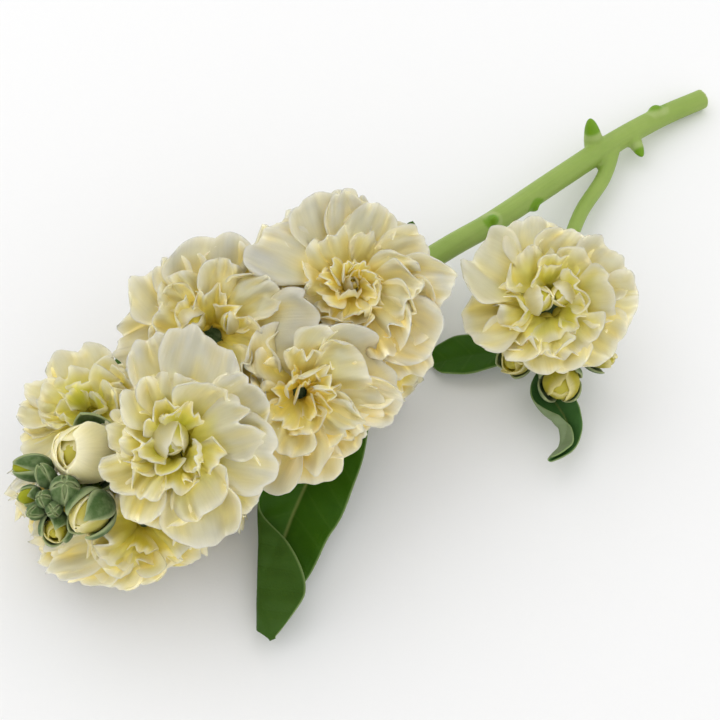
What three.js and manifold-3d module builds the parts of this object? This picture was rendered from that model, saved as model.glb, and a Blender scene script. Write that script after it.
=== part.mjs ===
// A cut stem of double stock lying on a table, in millimetres, +Z up.
// The stem runs from its cut end (far right) to the bud rosette at its tip (near left).
// Double blooms stand round the stem on short stalks, and a side shoot carries one bloom more.
import * as THREE from "three";
import { mergeVertices } from "three/addons/utils/BufferGeometryUtils.js";
import Module from "manifold-3d";

const wasm = await Module();
wasm.setup();

const { PI, abs, atan2, cos, exp, max, min, sin, sqrt } = Math;
const vec = (x, y, z) => new THREE.Vector3(x, y, z);
const degrees = PI / 180;

// Driving dimensions
const BED_CENTRE = vec(5.3, 10.2, 0); // middle of the plant's outline on the table
const STEM_RADIUS = 2.7;
const STEM_TIP_RADIUS = 1.2;
const SHOOT_RADIUS = 1.7;
const STALK_RADIUS = 0.9;
const CALYX_LENGTH = 8;
const CALYX_RADIUS = 2.9;
const CALYX_WALL = 0.8;
const CALYX_LIP = -2.5; // along a bloom's axis from its face
const CALYX_DEPTH = 2.4; // of the hollow in which the petals' claws stand
const THROAT_RADIUS = 1.5; // bundle of petal claws inside the calyx
const CLAW_HALF = 0.7; // half the width of a petal at its root
const PETAL_HALF = 0.5; // half the thickness in a petal's middle, which thins to its rim
const LEAF_HALF = 0.45;
const LEAF_TURN = 2.85; // how far a folded leaf turns over, in radians
const SEPAL_WALL = 0.7;
const CLEARANCE = 0.4; // between two pieces that touch
const CROWDING = 3; // depth over which petals bend away from a neighbour
const SETTLING = 2; // depth over which petals bend along the table
const PRESSED = 0.1; // how far a petal's middle sinks past the table, where its underside is cut flat

// Stem and shoot centre lines, from the cut end to the tip
const STEM_LINE = [
  [84, 81, 2.3], [73, 74.5, 3.9], [61, 65.5, 6], [47.5, 53, 9], [31, 37.5, 12.5], [19, 27.5, 15],
  [-2, 9, 18.5], [-23.5, -9.5, 20.5], [-44, -26, 22], [-55, -35, 23.5], [-61.5, -43.5, 29],
];
const SHOOT_LINE = [
  [62, 67, 6], [58, 56, 5.2], [51.5, 44, 5.6], [46.5, 27, 6.6], [44.4, 10, 7.4], [44.6, 1, 8.4],
];

// Petal rings from the outside in. length and width are shares of the bloom's radius, angles are degrees:
// open is how far a petal leans from the bloom's axis, curl how much more its end turns out.
// root and out place a petal's foot along and off the axis, rows and columns divide its blade.
const FULL_RINGS = [
  {
    count: 5, length: 1.14, width: 0.47, open: 97, curl: 10, cup: 0.35, ruffle: 1, round: 0.3,
    root: -0.2, out: 1.4, rows: 3, columns: 5,
  },
  {
    count: 4, length: 0.96, width: 0.45, open: 73, curl: 6, cup: 0.45, ruffle: 1, round: 0.3,
    root: 0.9, out: 1.6, rows: 2, columns: 5,
  },
  {
    count: 3, length: 0.72, width: 0.38, open: 45, curl: 4, cup: 0.7, ruffle: 0.9, round: 0.3,
    root: 2, out: 1.4, rows: 2, columns: 4,
  },
  {
    count: 2, length: 0.46, width: 0.27, open: 16, curl: -50, cup: 1.1, ruffle: 0.2, round: 0.4,
    root: 3, out: 1, rows: 2, columns: 4,
  },
];
const PLAIN_RINGS = [
  {
    count: 5, length: 1.14, width: 0.46, open: 93, curl: 8, cup: 0.35, ruffle: 0.9, round: 0.3,
    root: -0.2, out: 1.4, rows: 2, columns: 5,
  },
  {
    count: 3, length: 0.9, width: 0.5, open: 62, curl: 6, cup: 0.5, ruffle: 0.9, round: 0.3,
    root: 1.1, out: 1.6, rows: 2, columns: 4,
  },
  {
    count: 2, length: 0.55, width: 0.34, open: 22, curl: -20, cup: 0.9, ruffle: 0.4, round: 0.3,
    root: 2.4, out: 1.2, rows: 2, columns: 4,
  },
];

// Blooms. at: where the stalk leaves its stem, from the cut end. centre: middle of the face.
// radius: reach of the petals. room: share of the space between two neighbours. turn and seed: petals' own.
const BLOOMS = [
  {
    name: "bloom_upper", on: "stem", at: 112, centre: [-5, 0.5, 37], faces: [0.05, -0.4, 0.9],
    radius: 23.5, room: 21.5, turn: 20, seed: 11,
  },
  {
    name: "bloom_upper_left", on: "stem", at: 146, centre: [-26.5, -5.5, 33.5], faces: [-0.1, -0.2, 0.97],
    radius: 23, room: 23.5, turn: 50, seed: 12,
  },
  {
    name: "bloom_front", on: "stem", at: 160, centre: [-34, -34.5, 39], faces: [0, -0.5, 0.86],
    radius: 20.5, room: 22, turn: 75, seed: 13,
  },
  {
    name: "bloom_right", on: "stem", at: 132, centre: [-9.4, -19.5, 31], faces: [0.15, -0.72, 0.66],
    radius: 20, room: 23, turn: 45, seed: 14,
  },
  {
    name: "bloom_left", on: "stem", at: 172, centre: [-53, -25.5, 27], faces: [-0.3, 0, 0.93],
    radius: 19, room: 19, turn: 35, seed: 15,
  },
  {
    name: "bloom_foot", on: "stem", at: 176, centre: [-48.5, -42, 19], faces: [0.05, -1, 0.1],
    radius: 18.5, room: 19, turn: 60, seed: 16,
  },
  {
    name: "bloom_under_right", on: "stem", at: 108, centre: [6, -2.5, 17], faces: [0.6, -0.65, 0.45],
    radius: 17.5, room: 18, turn: 15, seed: 17, hidden: true,
  },
  {
    name: "bloom_under_front", on: "stem", at: 150, centre: [-33.5, -35, 11], faces: [0.3, -0.8, -0.4],
    radius: 15, room: 17, turn: 40, seed: 18, hidden: true,
  },
  {
    name: "bloom_under_left", on: "stem", at: 180, centre: [-62, -36, 9.5], faces: [-0.85, -0.3, -0.3],
    radius: 12.5, room: 14, turn: 5, seed: 19, hidden: true,
  },
  {
    name: "bloom_back", on: "stem", at: 150, centre: [-38, -3, 12.5], faces: [-0.5, 0.8, -0.1],
    radius: 16, room: 18, turn: 25, seed: 20, hidden: true,
  },
  {
    name: "bloom_back_upper", on: "stem", at: 114, centre: [-10, 20, 16], faces: [-0.4, 0.9, 0],
    radius: 18, room: 18, turn: 70, seed: 21, hidden: true,
  },
  {
    name: "bloom_under", on: "stem", at: 128, centre: [-20, -4, 4.5], faces: [-0.05, 0.1, -1],
    radius: 18, room: 18, turn: 30, seed: 22, hidden: true,
  },
  {
    name: "bloom_side", on: "shoot", at: 56, centre: [40.8, 10, 23], faces: [0, -0.28, 0.96],
    radius: 18.5, room: 19, turn: 66, seed: 25,
  },
];

// Buds. from: foot of the stalk. length and radius: of the egg. petals: name of the petals that show.
const TIP = [-61, -42.5, 27.5];
const SHOOT_TIP = [44.6, 1.5, 8.2];
const BUDS = [
  {
    from: [-53, -33.5, 23.4], centre: [-56.2, -34.8, 34], faces: [-0.35, -0.4, 0.85],
    length: 15, radius: 6.8, lip: -0.22, petals: "bud_opening",
  },
  {
    from: [-56.6, -37, 24.8], centre: [-53.8, -48.5, 32], faces: [-0.15, -0.75, 0.6],
    length: 10.5, radius: 4.5, lip: 0.02, petals: "bud_front",
  },
  {
    from: TIP, centre: [-61.4, -50.8, 27.5], faces: [-0.1, -0.9, 0.35],
    length: 7, radius: 2.8, lip: 0.02, petals: "bud_yellow",
  },
  {
    from: SHOOT_TIP, centre: [35.2, 1.4, 9.6], faces: [-0.55, -0.55, 0.6],
    length: 8, radius: 3.4, lip: 0.02, petals: "bud_side_left",
  },
  {
    from: SHOOT_TIP, centre: [44.4, -5.4, 11], faces: [0, -0.75, 0.65],
    length: 9, radius: 4, lip: 0.02, petals: "bud_side_front",
  },
  {
    from: SHOOT_TIP, centre: [54.6, 1.8, 9.6], faces: [0.8, -0.3, 0.45],
    length: 8, radius: 2.5, lip: 0.02, petals: "bud_side_right",
  },
  { from: TIP, centre: [-67, -37.5, 30.5], faces: [-0.85, 0.45, 0.3], length: 8.5, radius: 2.4 },
  { from: TIP, centre: [-59.2, -44.5, 34], faces: [0.1, -0.1, 1], length: 6.4, radius: 2.9 },
  { from: TIP, centre: [-63.6, -40.8, 33.2], faces: [-0.3, 0.35, 0.9], length: 5.6, radius: 1.8 },
  { from: TIP, centre: [-67, -43.8, 30], faces: [-0.8, -0.3, 0.5], length: 5.4, radius: 2.1 },
  { from: TIP, centre: [-63.4, -46, 33], faces: [-0.2, -0.3, 0.95], length: 5, radius: 1.5 },
  { from: TIP, centre: [-61.5, -47.8, 32], faces: [0.1, -0.6, 0.8], length: 4.6, radius: 1.5 },
  { from: TIP, centre: [-65.4, -47.6, 30.5], faces: [-0.4, -0.6, 0.7], length: 4.6, radius: 1.4 },
];

// Stubs of side shoots and leaf scars on the stem: place, way it points, length, radius at its foot
const STUBS = [
  [[55.8, 65, 9.4], [-0.2, 0.35, 0.9], 6.4, 2],
  [[67.4, 65.6, 4.4], [0.35, -0.9, -0.1], 5, 1.4],
  [[72.4, 76.2, 6], [-0.2, 0.6, 0.8], 4, 2.2],
  [[30.5, 36.2, 14.6], [0.2, -0.3, 1], 4.4, 1.9],
  [[40.4, 44.6, 9.6], [0.4, -0.8, 0.1], 4.4, 2.2],
];

// Leaves. midrib and half widths run from base to tip. side: the way the right half lies.
// lifts: how far the left and right halves rise, in degrees. fold: a line over which the blade turns back,
// in millimetres along and across the leaf, with the radius of its bend.
const LEAVES = [
  {
    name: "leaf_large", rows: 10, columns: 8, side: [0.92, -0.39, 0], lifts: [12, 8], waves: 0.9, seed: 31,
    midrib: [
      [2, 4, 15], [-1.8, -8, 13.5], [-6.5, -18, 11.5], [-10.8, -26, 9],
      [-15, -35, 6.2], [-17.7, -42.3, 4.4], [-21.4, -51, 2.8], [-24.8, -59.8, 1.6],
    ],
    widths: [2, 4.5, 7.4, 9.4, 10.2, 10.2, 9.8, 7.6],
    fold: { start: [41.5, -7], end: [68, 5.5], bend: 1.2 },
  },
  {
    name: "leaf_oval", rows: 7, columns: 5, side: [-0.1, -1, 0], lifts: [8, 8], waves: 0.3, seed: 32,
    midrib: [[44.6, 8.6, 6.4], [36, 8, 3.6], [29.6, 7.6, 3], [22.7, 6.9, 2.4], [16, 5.8, 1.4]],
    widths: [1, 3, 4.9, 4.8, 1.2],
  },
  {
    name: "leaf_curled", rows: 7, columns: 5, side: [0.9, -0.35, 0.2], lifts: [50, 20], waves: 0.3, seed: 33,
    midrib: [
      [44.2, 0, 4.6], [43.6, -4, 4.6], [44.4, -9.5, 4.4],
      [45.6, -14.5, 4], [44, -18.8, 3.8], [40.2, -20.8, 4.4],
    ],
    widths: [1.6, 5.2, 5.6, 4.8, 4, 2.2],
  },
  {
    name: "leaf_tip_left", rows: 5, columns: 5, side: [-0.7, -0.7, 0], lifts: [15, 15], waves: 0.3, seed: 34,
    midrib: [[-47.5, -21, 18.5], [-51.5, -10, 14], [-54.2, -2, 10.5], [-55.2, 4.6, 8]],
    widths: [1, 2.6, 2.6, 0.8],
  },
  {
    name: "leaf_tip_back", rows: 5, columns: 5, side: [-0.8, 0.6, 0], lifts: [15, 15], waves: 0.3, seed: 35,
    midrib: [[6, 17, 16.5], [8, 24, 15.5], [10.5, 30, 15], [12.5, 35.5, 14.5]],
    widths: [1, 2.8, 2.6, 0.8],
  },
];

const stemLine = new THREE.CatmullRomCurve3(STEM_LINE.map((p) => vec(...p)), false, "catmullrom");
const shootLine = new THREE.CatmullRomCurve3(SHOOT_LINE.map((p) => vec(...p)), false, "catmullrom");
const lines = { stem: stemLine, shoot: shootLine };
const lengths = { stem: stemLine.getLength(), shoot: shootLine.getLength() };

const smooth = (low, high, x) => {
  const t = min(1, max(0, (x - low) / (high - low)));
  return t * t * (3 - 2 * t);
};

// Repeatable random numbers from a seed
function dice(seed) {
  let state = (seed * 7919 + 17) % 2147483647;
  return (low, high) => {
    state = (state * 48271) % 2147483647;
    return low + ((high - low) * state) / 2147483647;
  };
}

function solidOf(geometry) {
  const bare = geometry.clone();
  bare.deleteAttribute("normal");
  bare.deleteAttribute("uv");
  const merged = mergeVertices(bare, 1e-4);
  return new wasm.Manifold(
    new wasm.Mesh({
      numProp: 3,
      vertProperties: new Float32Array(merged.attributes.position.array),
      triVerts: new Uint32Array(merged.index.array),
    }),
  );
}

function geometryOf(solid) {
  const mesh = solid.getMesh();
  const geometry = new THREE.BufferGeometry();
  geometry.setAttribute("position", new THREE.BufferAttribute(mesh.vertProperties, 3));
  geometry.setIndex(new THREE.BufferAttribute(mesh.triVerts, 1));
  geometry.computeVertexNormals();
  return geometry;
}

const fuse = (solids) => solids.reduce((all, one) => all.add(one));

// The largest body of a solid: scraps that a cut leaves loose are dropped
function largest(solid) {
  return solid.decompose().reduce((best, one) => (one.volume() > best.volume() ? one : best));
}

// A round bar of changing radius along a curve: a cylinder's vertices moved onto the curve's frames
function barAlong(curve, radiusAt, sides, steps) {
  const frames = curve.computeFrenetFrames(steps, false);
  const bar = new THREE.CylinderGeometry(1, 1, 1, sides, steps);
  const position = bar.attributes.position;
  for (let i = 0; i < position.count; i++) {
    const share = 0.5 - position.getY(i);
    const step = Math.round(share * steps);
    const radius = radiusAt(share);
    const point = curve.getPointAt(share);
    point.addScaledVector(frames.normals[step], position.getX(i) * radius);
    point.addScaledVector(frames.binormals[step], position.getZ(i) * radius);
    position.setXYZ(i, point.x, point.y, point.z);
  }
  return solidOf(bar);
}

// A closed blade over a surface of along (0 to 1) and across (-1 to 1), split alike on both faces.
// A lens blade thins to nothing at its rim, and any other keeps its thickness.
function blade(surface, alongs, acrosses, half, lens) {
  const rows = alongs.length;
  const columns = acrosses.length;
  const middle = alongs.map((u) => acrosses.map((v) => surface(u, v)));
  const positions = [];
  for (const side of [1, -1]) {
    for (let i = 0; i < rows; i++) {
      for (let j = 0; j < columns; j++) {
        const rim = i === 0 || j === 0 || i === rows - 1 || j === columns - 1;
        const lengthwise = middle[min(i + 1, rows - 1)][j].clone().sub(middle[max(i - 1, 0)][j]);
        const crosswise = middle[i][min(j + 1, columns - 1)].clone().sub(middle[i][max(j - 1, 0)]);
        const normal = crosswise.cross(lengthwise).normalize();
        const depth = lens && rim ? 0 : side * half;
        positions.push(...middle[i][j].clone().addScaledVector(normal, depth).toArray());
      }
    }
  }
  const index = [];
  const at = (side, i, j) => side * rows * columns + i * columns + j;
  for (let i = 0; i + 1 < rows; i++) {
    for (let j = 0; j + 1 < columns; j++) {
      index.push(at(0, i, j), at(0, i, j + 1), at(0, i + 1, j + 1));
      index.push(at(0, i, j), at(0, i + 1, j + 1), at(0, i + 1, j));
      index.push(at(1, i, j), at(1, i + 1, j + 1), at(1, i, j + 1));
      index.push(at(1, i, j), at(1, i + 1, j), at(1, i + 1, j + 1));
    }
  }
  const loop = [];
  for (let j = 0; j < columns - 1; j++) loop.push([0, j]);
  for (let i = 0; i < rows - 1; i++) loop.push([i, columns - 1]);
  for (let j = columns - 1; j > 0; j--) loop.push([rows - 1, j]);
  for (let i = rows - 1; i > 0; i--) loop.push([i, 0]);
  for (let k = 0; k < loop.length && !lens; k++) {
    const [a, b] = [loop[k], loop[(k + 1) % loop.length]];
    index.push(at(0, ...a), at(1, ...a), at(1, ...b));
    index.push(at(0, ...a), at(1, ...b), at(0, ...b));
  }
  const geometry = new THREE.BufferGeometry();
  geometry.setAttribute("position", new THREE.Float32BufferAttribute(positions, 3));
  geometry.setIndex(index);
  return solidOf(geometry);
}

// A bloom's frame: axis is the way it faces, right and up span its face
function frameOf(bloom) {
  const centre = vec(...bloom.centre);
  const axis = vec(...bloom.faces).normalize();
  const right = vec(1, 0, 0).addScaledVector(axis, -axis.x).normalize();
  const up = axis.clone().cross(right);
  return { centre, axis, right, up };
}

// The petals of a bloom, each with its own lengths, angles and ruffles
function petalsOf(bloom) {
  const petals = [];
  const rings = bloom.hidden ? PLAIN_RINGS : FULL_RINGS;
  rings.forEach((ring, k) => {
    for (let i = 0; i < ring.count; i++) {
      const roll = dice(bloom.seed * 101 + k * 17 + i);
      petals.push({
        azimuth: bloom.turn + k * 29 + (360 / ring.count) * i + roll(-9, 9),
        length: bloom.radius * ring.length * roll(0.9, 1.08),
        half: bloom.radius * ring.width * roll(0.9, 1.12),
        open: ring.open + roll(-8, 8),
        curl: ring.curl + roll(-10, 10),
        cup: ring.cup * roll(0.6, 1.3),
        ruffle: ring.ruffle * roll(0.7, 1.3),
        waves: roll(4.2, 6.4),
        phase: roll(0, 2 * PI),
        crease: roll(-0.5, 1),
        round: ring.round * roll(0.7, 1.2),
        twist: roll(0.5, 1.2),
        root: ring.root,
        out: ring.out,
        rows: ring.rows,
        columns: ring.columns,
        ring: k,
      });
    }
  });
  return petals;
}

// A point of a petal's middle surface in the bloom's frame: out from the axis, round it, and along it
function petalPoint(petal, along, across) {
  const reach = along * (1 - petal.round * across * across * along * along);
  const steps = 24;
  const start = 0.45 * petal.open;
  let out = petal.out;
  let rise = petal.root;
  let lean = 0;
  for (let i = 0; i < steps; i++) {
    const share = (reach * (i + 0.5)) / steps;
    const opened = start + (petal.open - start) * smooth(0, 0.4, share);
    lean = (opened + petal.curl * smooth(0.55, 1, share)) * degrees;
    out += (sin(lean) * petal.length * reach) / steps;
    rise += (cos(lean) * petal.length * reach) / steps;
  }
  const half = CLAW_HALF + (petal.half - CLAW_HALF) * smooth(0.02, 0.6, along);
  const bow = petal.cup * across;
  const side = (half / petal.cup) * sin(bow);
  const frill = smooth(0.25, 1, along) * (0.35 + 0.65 * max(along ** 4, across * across));
  const wave = sin(petal.waves * across + petal.phase)
    + 0.4 * sin(1.9 * petal.waves * across - petal.phase + 2 * along);
  const lift = (half / petal.cup) * (1 - cos(bow)) + petal.ruffle * frill * wave
    + (petal.crease * abs(across) + petal.twist * across) * along;
  const turn = petal.azimuth * degrees;
  const radial = out - cos(lean) * lift;
  const x = radial * cos(turn) - side * sin(turn);
  const y = radial * sin(turn) + side * cos(turn);
  return vec(x, y, rise + sin(lean) * lift);
}

// Planes which a bloom's petals bend away from: between it and each neighbour, and beside each large bud
function wallsOf(bloom) {
  const here = frameOf(bloom).centre;
  const between = (there, reachOf) => {
    const normal = vec(...there).sub(here);
    const gap = normal.length();
    return { normal: normal.normalize(), reach: reachOf(gap) };
  };
  const others = BLOOMS.filter((other) => other !== bloom);
  const walls = others.map((other) =>
    between(other.centre, (gap) => (gap * gap + bloom.room ** 2 - other.room ** 2) / (2 * gap)),
  );
  const buds = BUDS.filter((bud) => bud.petals && bud.radius > 4);
  walls.push(...buds.map((bud) => between(bud.centre, (gap) => gap - bud.radius - 0.5)));
  return walls.filter((wall) => wall.reach < bloom.radius * 1.4);
}

// Moves a point back from a wall, the more the nearer it is, so that it never passes it
function bendBack(distance, depth, stop) {
  if (distance < -depth) return distance;
  return -stop - (depth - stop) * exp(-(distance + depth) / (depth - stop));
}

function settle(point, here, walls) {
  for (let round = 0; round < 3; round++) {
    for (const wall of walls) {
      const distance = point.clone().sub(here).dot(wall.normal) - wall.reach;
      const stop = CLEARANCE / 2 + PETAL_HALF;
      const depth = min(CROWDING, wall.reach * 0.8);
      point.addScaledVector(wall.normal, bendBack(distance, depth, stop) - distance);
    }
  }
  point.z = -bendBack(-point.z, SETTLING, -PRESSED);
  return point;
}

const PETAL_ROWS = { 2: [0, 0.55, 1], 3: [0, 0.42, 0.74, 1] };
const PETAL_COLUMNS = { 4: [-1, -0.36, 0.36, 1], 5: [-1, -0.5, 0, 0.5, 1] };

function bloomSolid(bloom) {
  const { centre, axis, right, up } = frameOf(bloom);
  const walls = wallsOf(bloom);
  const place = new THREE.Matrix4().makeBasis(right, up, axis).setPosition(centre);
  const petals = petalsOf(bloom).map((petal) => {
    const surface = (u, v) => settle(petalPoint(petal, u, v).applyMatrix4(place), centre, walls);
    return blade(surface, PETAL_ROWS[petal.rows], PETAL_COLUMNS[petal.columns], PETAL_HALF, true);
  });
  const profile = [
    [0, CALYX_LIP - CALYX_DEPTH + 1.5 * CLEARANCE], [THROAT_RADIUS * 0.6, CALYX_LIP],
    [THROAT_RADIUS * 1.4, 0.8],
    [THROAT_RADIUS, 3.4], [0, 4.8],
  ];
  const throat = new THREE.LatheGeometry(profile.map((p) => new THREE.Vector2(...p)), 7);
  throat.rotateX(PI / 2);
  throat.applyMatrix4(place);
  return fuse([solidOf(throat), ...petals]);
}

// The stalk of a bloom leaves the stem square to it and ends in line with the bloom
function stalkOf(bloom) {
  const { centre, axis } = frameOf(bloom);
  const line = lines[bloom.on];
  const start = line.getPointAt(bloom.at / lengths[bloom.on]);
  const end = centre.clone().addScaledVector(axis, 0.2 - CALYX_LENGTH);
  const knee = end.clone().addScaledVector(axis, -0.5 * end.distanceTo(start));
  return new THREE.QuadraticBezierCurve3(start, knee, end);
}

// The calyx is a cup of four sepals: a turned wall whose lip rises to four points
function calyx(bloom, grow) {
  const { centre, axis, right, up } = frameOf(bloom);
  const outer = CALYX_RADIUS + grow;
  const inner = CALYX_RADIUS - CALYX_WALL - grow;
  const base = -CALYX_LENGTH;
  const profile = [
    [0, base - grow], [outer * 0.6, base - grow], [outer, base + 2.5], [outer * 0.92, CALYX_LIP + grow],
    [inner, CALYX_LIP + grow], [0, CALYX_LIP - CALYX_DEPTH],
  ];
  const cup = new THREE.LatheGeometry(profile.map((p) => new THREE.Vector2(...p)), 8);
  const position = cup.attributes.position;
  for (let i = 0; i < position.count; i++) {
    const [x, y, z] = [position.getX(i), position.getY(i), position.getZ(i)];
    const tip = y > CALYX_LIP - 0.1 ? 1.2 * max(0, cos(4 * atan2(z, x))) : 0;
    position.setXYZ(i, x, y + tip, z);
  }
  cup.rotateX(PI / 2);
  cup.applyMatrix4(new THREE.Matrix4().makeBasis(right, up, axis).setPosition(centre));
  return solidOf(cup);
}

// The frame of a bud: its axis along the way it faces
function budFrame(bud) {
  const axis = vec(...bud.faces).normalize();
  const right = vec(1, 0, 0).addScaledVector(axis, -axis.x).normalize();
  return new THREE.Matrix4().makeBasis(right, axis.clone().cross(right), axis).setPosition(vec(...bud.centre));
}

// An egg along its axis with four shallow ridges, as the sepals or petals of a closed bud make
function egg(bud, grow) {
  const shape = new THREE.SphereGeometry(1, bud.petals ? 8 : 6, bud.petals ? 6 : 4);
  shape.rotateX(PI / 2);
  const position = shape.attributes.position;
  for (let i = 0; i < position.count; i++) {
    const [x, y, z] = [position.getX(i), position.getY(i), position.getZ(i)];
    const ridge = bud.radius * (1 - 0.15 * z) + grow;
    position.setXYZ(i, x * ridge, y * ridge, z * (bud.length / 2 + grow));
  }
  shape.applyMatrix4(budFrame(bud));
  return solidOf(shape);
}

// A cup of four sepals round the lower half of an opening bud
function budCup(bud, grow) {
  const foot = -bud.length / 2;
  const gap = CLEARANCE - grow;
  const outer = bud.radius + CLEARANCE + SEPAL_WALL + grow;
  const lip = bud.lip * bud.length + grow;
  const profile = [
    [0, foot - 1.6 - grow], [outer * 0.72, foot * 0.84 - 0.6 - grow], [outer * 1.05, lip - 0.14 * bud.length],
    [outer, lip], [bud.radius + gap, lip], [bud.radius * 0.94 + gap, foot / 2],
    [bud.radius * 0.57 + gap, foot * 0.866], [0, foot - gap],
  ];
  const cup = new THREE.LatheGeometry(profile.map((p) => new THREE.Vector2(...p)), 8);
  const position = cup.attributes.position;
  for (let i = 0; i < position.count; i++) {
    const [x, y, z] = [position.getX(i), position.getY(i), position.getZ(i)];
    const tip = abs(y - lip) < 1e-5 ? 0.16 * bud.length * max(0, cos(4 * atan2(z, x))) : 0;
    position.setXYZ(i, x, y + tip, z);
  }
  cup.rotateX(PI / 2);
  cup.applyMatrix4(budFrame(bud));
  return solidOf(cup);
}

function budStalk(bud) {
  const start = vec(...bud.from);
  const axis = vec(...bud.faces).normalize();
  const end = vec(...bud.centre).addScaledVector(axis, bud.petals ? -0.5 * bud.length - 1 : -0.4 * bud.length);
  const knee = start.clone().lerp(end, 0.5).addScaledVector(axis, -0.25 * end.distanceTo(start));
  return new THREE.QuadraticBezierCurve3(start, knee, end);
}

// A leaf's middle surface: along from base to tip, across from its left margin to its right
function leafSurface(leaf) {
  const line = new THREE.CatmullRomCurve3(leaf.midrib.map((p) => vec(...p)), false, "catmullrom");
  const length = line.getLength();
  const widths = new THREE.SplineCurve(leaf.widths.map((w, i) => new THREE.Vector2(i, w)));
  const roll = dice(leaf.seed);
  const phases = [roll(0, 6), roll(0, 6)];
  const sheet = (run, over, height) => {
    const share = min(1, max(0, run / length));
    const tangent = line.getTangentAt(share);
    const side = vec(...leaf.side).addScaledVector(tangent, -vec(...leaf.side).dot(tangent)).normalize();
    const up = tangent.clone().cross(side);
    const lift = leaf.lifts[over > 0 ? 1 : 0] * degrees;
    const edge = abs(over) / max(...leaf.widths);
    const wave = leaf.waves * edge ** 1.5 * sin(run * 0.42 + phases[over > 0 ? 1 : 0]);
    return line.getPointAt(share)
      .addScaledVector(tangent, run - share * length)
      .addScaledVector(side, over * cos(lift))
      .addScaledVector(up, abs(over) * sin(lift) + height + wave);
  };
  return (along, across) => {
    const half = widths.getPoint(along).y;
    let run = along * length;
    let over = across * half;
    let height = 0;
    if (leaf.fold) {
      const { start, end, bend } = leaf.fold;
      const reach = sqrt((end[0] - start[0]) ** 2 + (end[1] - start[1]) ** 2);
      const away = [(end[1] - start[1]) / reach, (start[0] - end[0]) / reach];
      const past = (run - start[0]) * away[0] + (over - start[1]) * away[1];
      if (past > 0) {
        const arc = min(past, bend * LEAF_TURN);
        const turned = arc / bend;
        const rest = past - arc;
        const shift = bend * sin(turned) + rest * cos(turned) - past;
        height = bend * (1 - cos(turned)) + rest * sin(turned);
        run += shift * away[0];
        over += shift * away[1];
      }
    }
    return sheet(run, over, height);
  };
}

function leafSolid(leaf, half) {
  const steps = (count, low) => Array.from({ length: count }, (_, i) => low + ((1 - low) * i) / (count - 1));
  return blade(leafSurface(leaf), steps(leaf.rows, 0), steps(leaf.columns, -1), half, false);
}

const stemRadiusAt = (share) =>
  STEM_RADIUS * (1 - 0.08 * smooth(0.2, 0, share)) + (STEM_TIP_RADIUS - STEM_RADIUS) * smooth(0.45, 1, share);

// A short blunt stub or scar on the stem
function stub(at, towards, length, radius) {
  const shape = new THREE.SphereGeometry(1, 6, 4);
  shape.scale(radius, length / 2, radius);
  shape.applyQuaternion(new THREE.Quaternion().setFromUnitVectors(vec(0, 1, 0), vec(...towards).normalize()));
  shape.translate(...at);
  return solidOf(shape);
}

// All that is green and joined: stem, side shoot, stubs, stalks, calyces and closed buds
function greens(grow) {
  const parts = [
    barAlong(stemLine, (share) => stemRadiusAt(share) + grow, 8, 17),
    barAlong(shootLine, (share) => SHOOT_RADIUS * (1.15 - 0.3 * share) + grow, 6, 8),
  ];
  for (const bloom of BLOOMS) {
    parts.push(barAlong(stalkOf(bloom), () => STALK_RADIUS + grow, 5, 2));
    parts.push(calyx(bloom, grow));
  }
  for (const bud of BUDS) {
    parts.push(barAlong(budStalk(bud), () => 0.7 + grow, 4, 1));
    parts.push(bud.petals ? budCup(bud, grow) : egg(bud, grow));
  }
  for (const [at, towards, length, radius] of STUBS) {
    parts.push(stub(at, towards, length + grow, radius + grow));
  }
  return fuse(parts);
}

const table = new THREE.BoxGeometry(600, 600, 60);
table.translate(0, 0, -30);
const tableSolid = solidOf(table);

const group = new THREE.Group();

function addPiece(name, solid, colour) {
  const material = new THREE.MeshStandardMaterial({ color: colour, roughness: 0.6, metalness: 0 });
  const mesh = new THREE.Mesh(geometryOf(solid), material);
  mesh.name = name;
  group.add(mesh);
}

const openBuds = BUDS.filter((bud) => bud.petals);
const stemShadow = greens(CLEARANCE);
const budShadow = fuse(openBuds.map((bud) => egg(bud, CLEARANCE)));
const leafShadow = fuse(LEAVES.map((leaf) => leafSolid(leaf, LEAF_HALF + CLEARANCE)));

addPiece("stem", largest(greens(0).subtract(tableSolid)), 0x8aa448);
for (const bloom of BLOOMS) {
  const clear = bloomSolid(bloom).subtract(stemShadow).subtract(budShadow).subtract(leafShadow);
  addPiece(bloom.name, largest(clear.subtract(tableSolid)), 0xe8e2c2);
}
for (const bud of openBuds) addPiece(bud.petals, egg(bud, 0).subtract(tableSolid), 0xe3dfa6);
for (const leaf of LEAVES) {
  const clear = leafSolid(leaf, LEAF_HALF).subtract(stemShadow);
  addPiece(leaf.name, largest(clear.subtract(tableSolid)), 0x375511);
}

group.position.copy(BED_CENTRE).negate();

export default group;
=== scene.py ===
"""A cut stem of double stock lying on a pale floor.

The spike's ruffled blooms, the buds, the leaves and the stem are built as fine meshes round the
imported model, in its frame. Sizes below are in millimetres, measured from the middle of the plant.
"""

import math
from functools import partial

import bpy
import numpy as np
from bpy.props import FloatProperty, FloatVectorProperty, PointerProperty
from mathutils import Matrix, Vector
from mathutils.bvhtree import BVHTree


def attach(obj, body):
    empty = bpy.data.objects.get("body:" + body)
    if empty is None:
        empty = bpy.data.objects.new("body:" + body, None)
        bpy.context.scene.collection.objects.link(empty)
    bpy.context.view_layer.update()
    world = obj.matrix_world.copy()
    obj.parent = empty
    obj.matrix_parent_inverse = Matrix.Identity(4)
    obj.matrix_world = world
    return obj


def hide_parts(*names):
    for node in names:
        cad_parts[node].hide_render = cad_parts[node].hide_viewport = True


bl_info = {
    "name": "Double Stock Stem",
    "version": (1, 0, 0),
    "blender": (4, 5, 0),
    "location": "View3D > Sidebar > Stock",
    "description": "Builds a cut stem of double stock with ruffled blooms, buds and leaves",
    "category": "Add Mesh",
}

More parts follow.
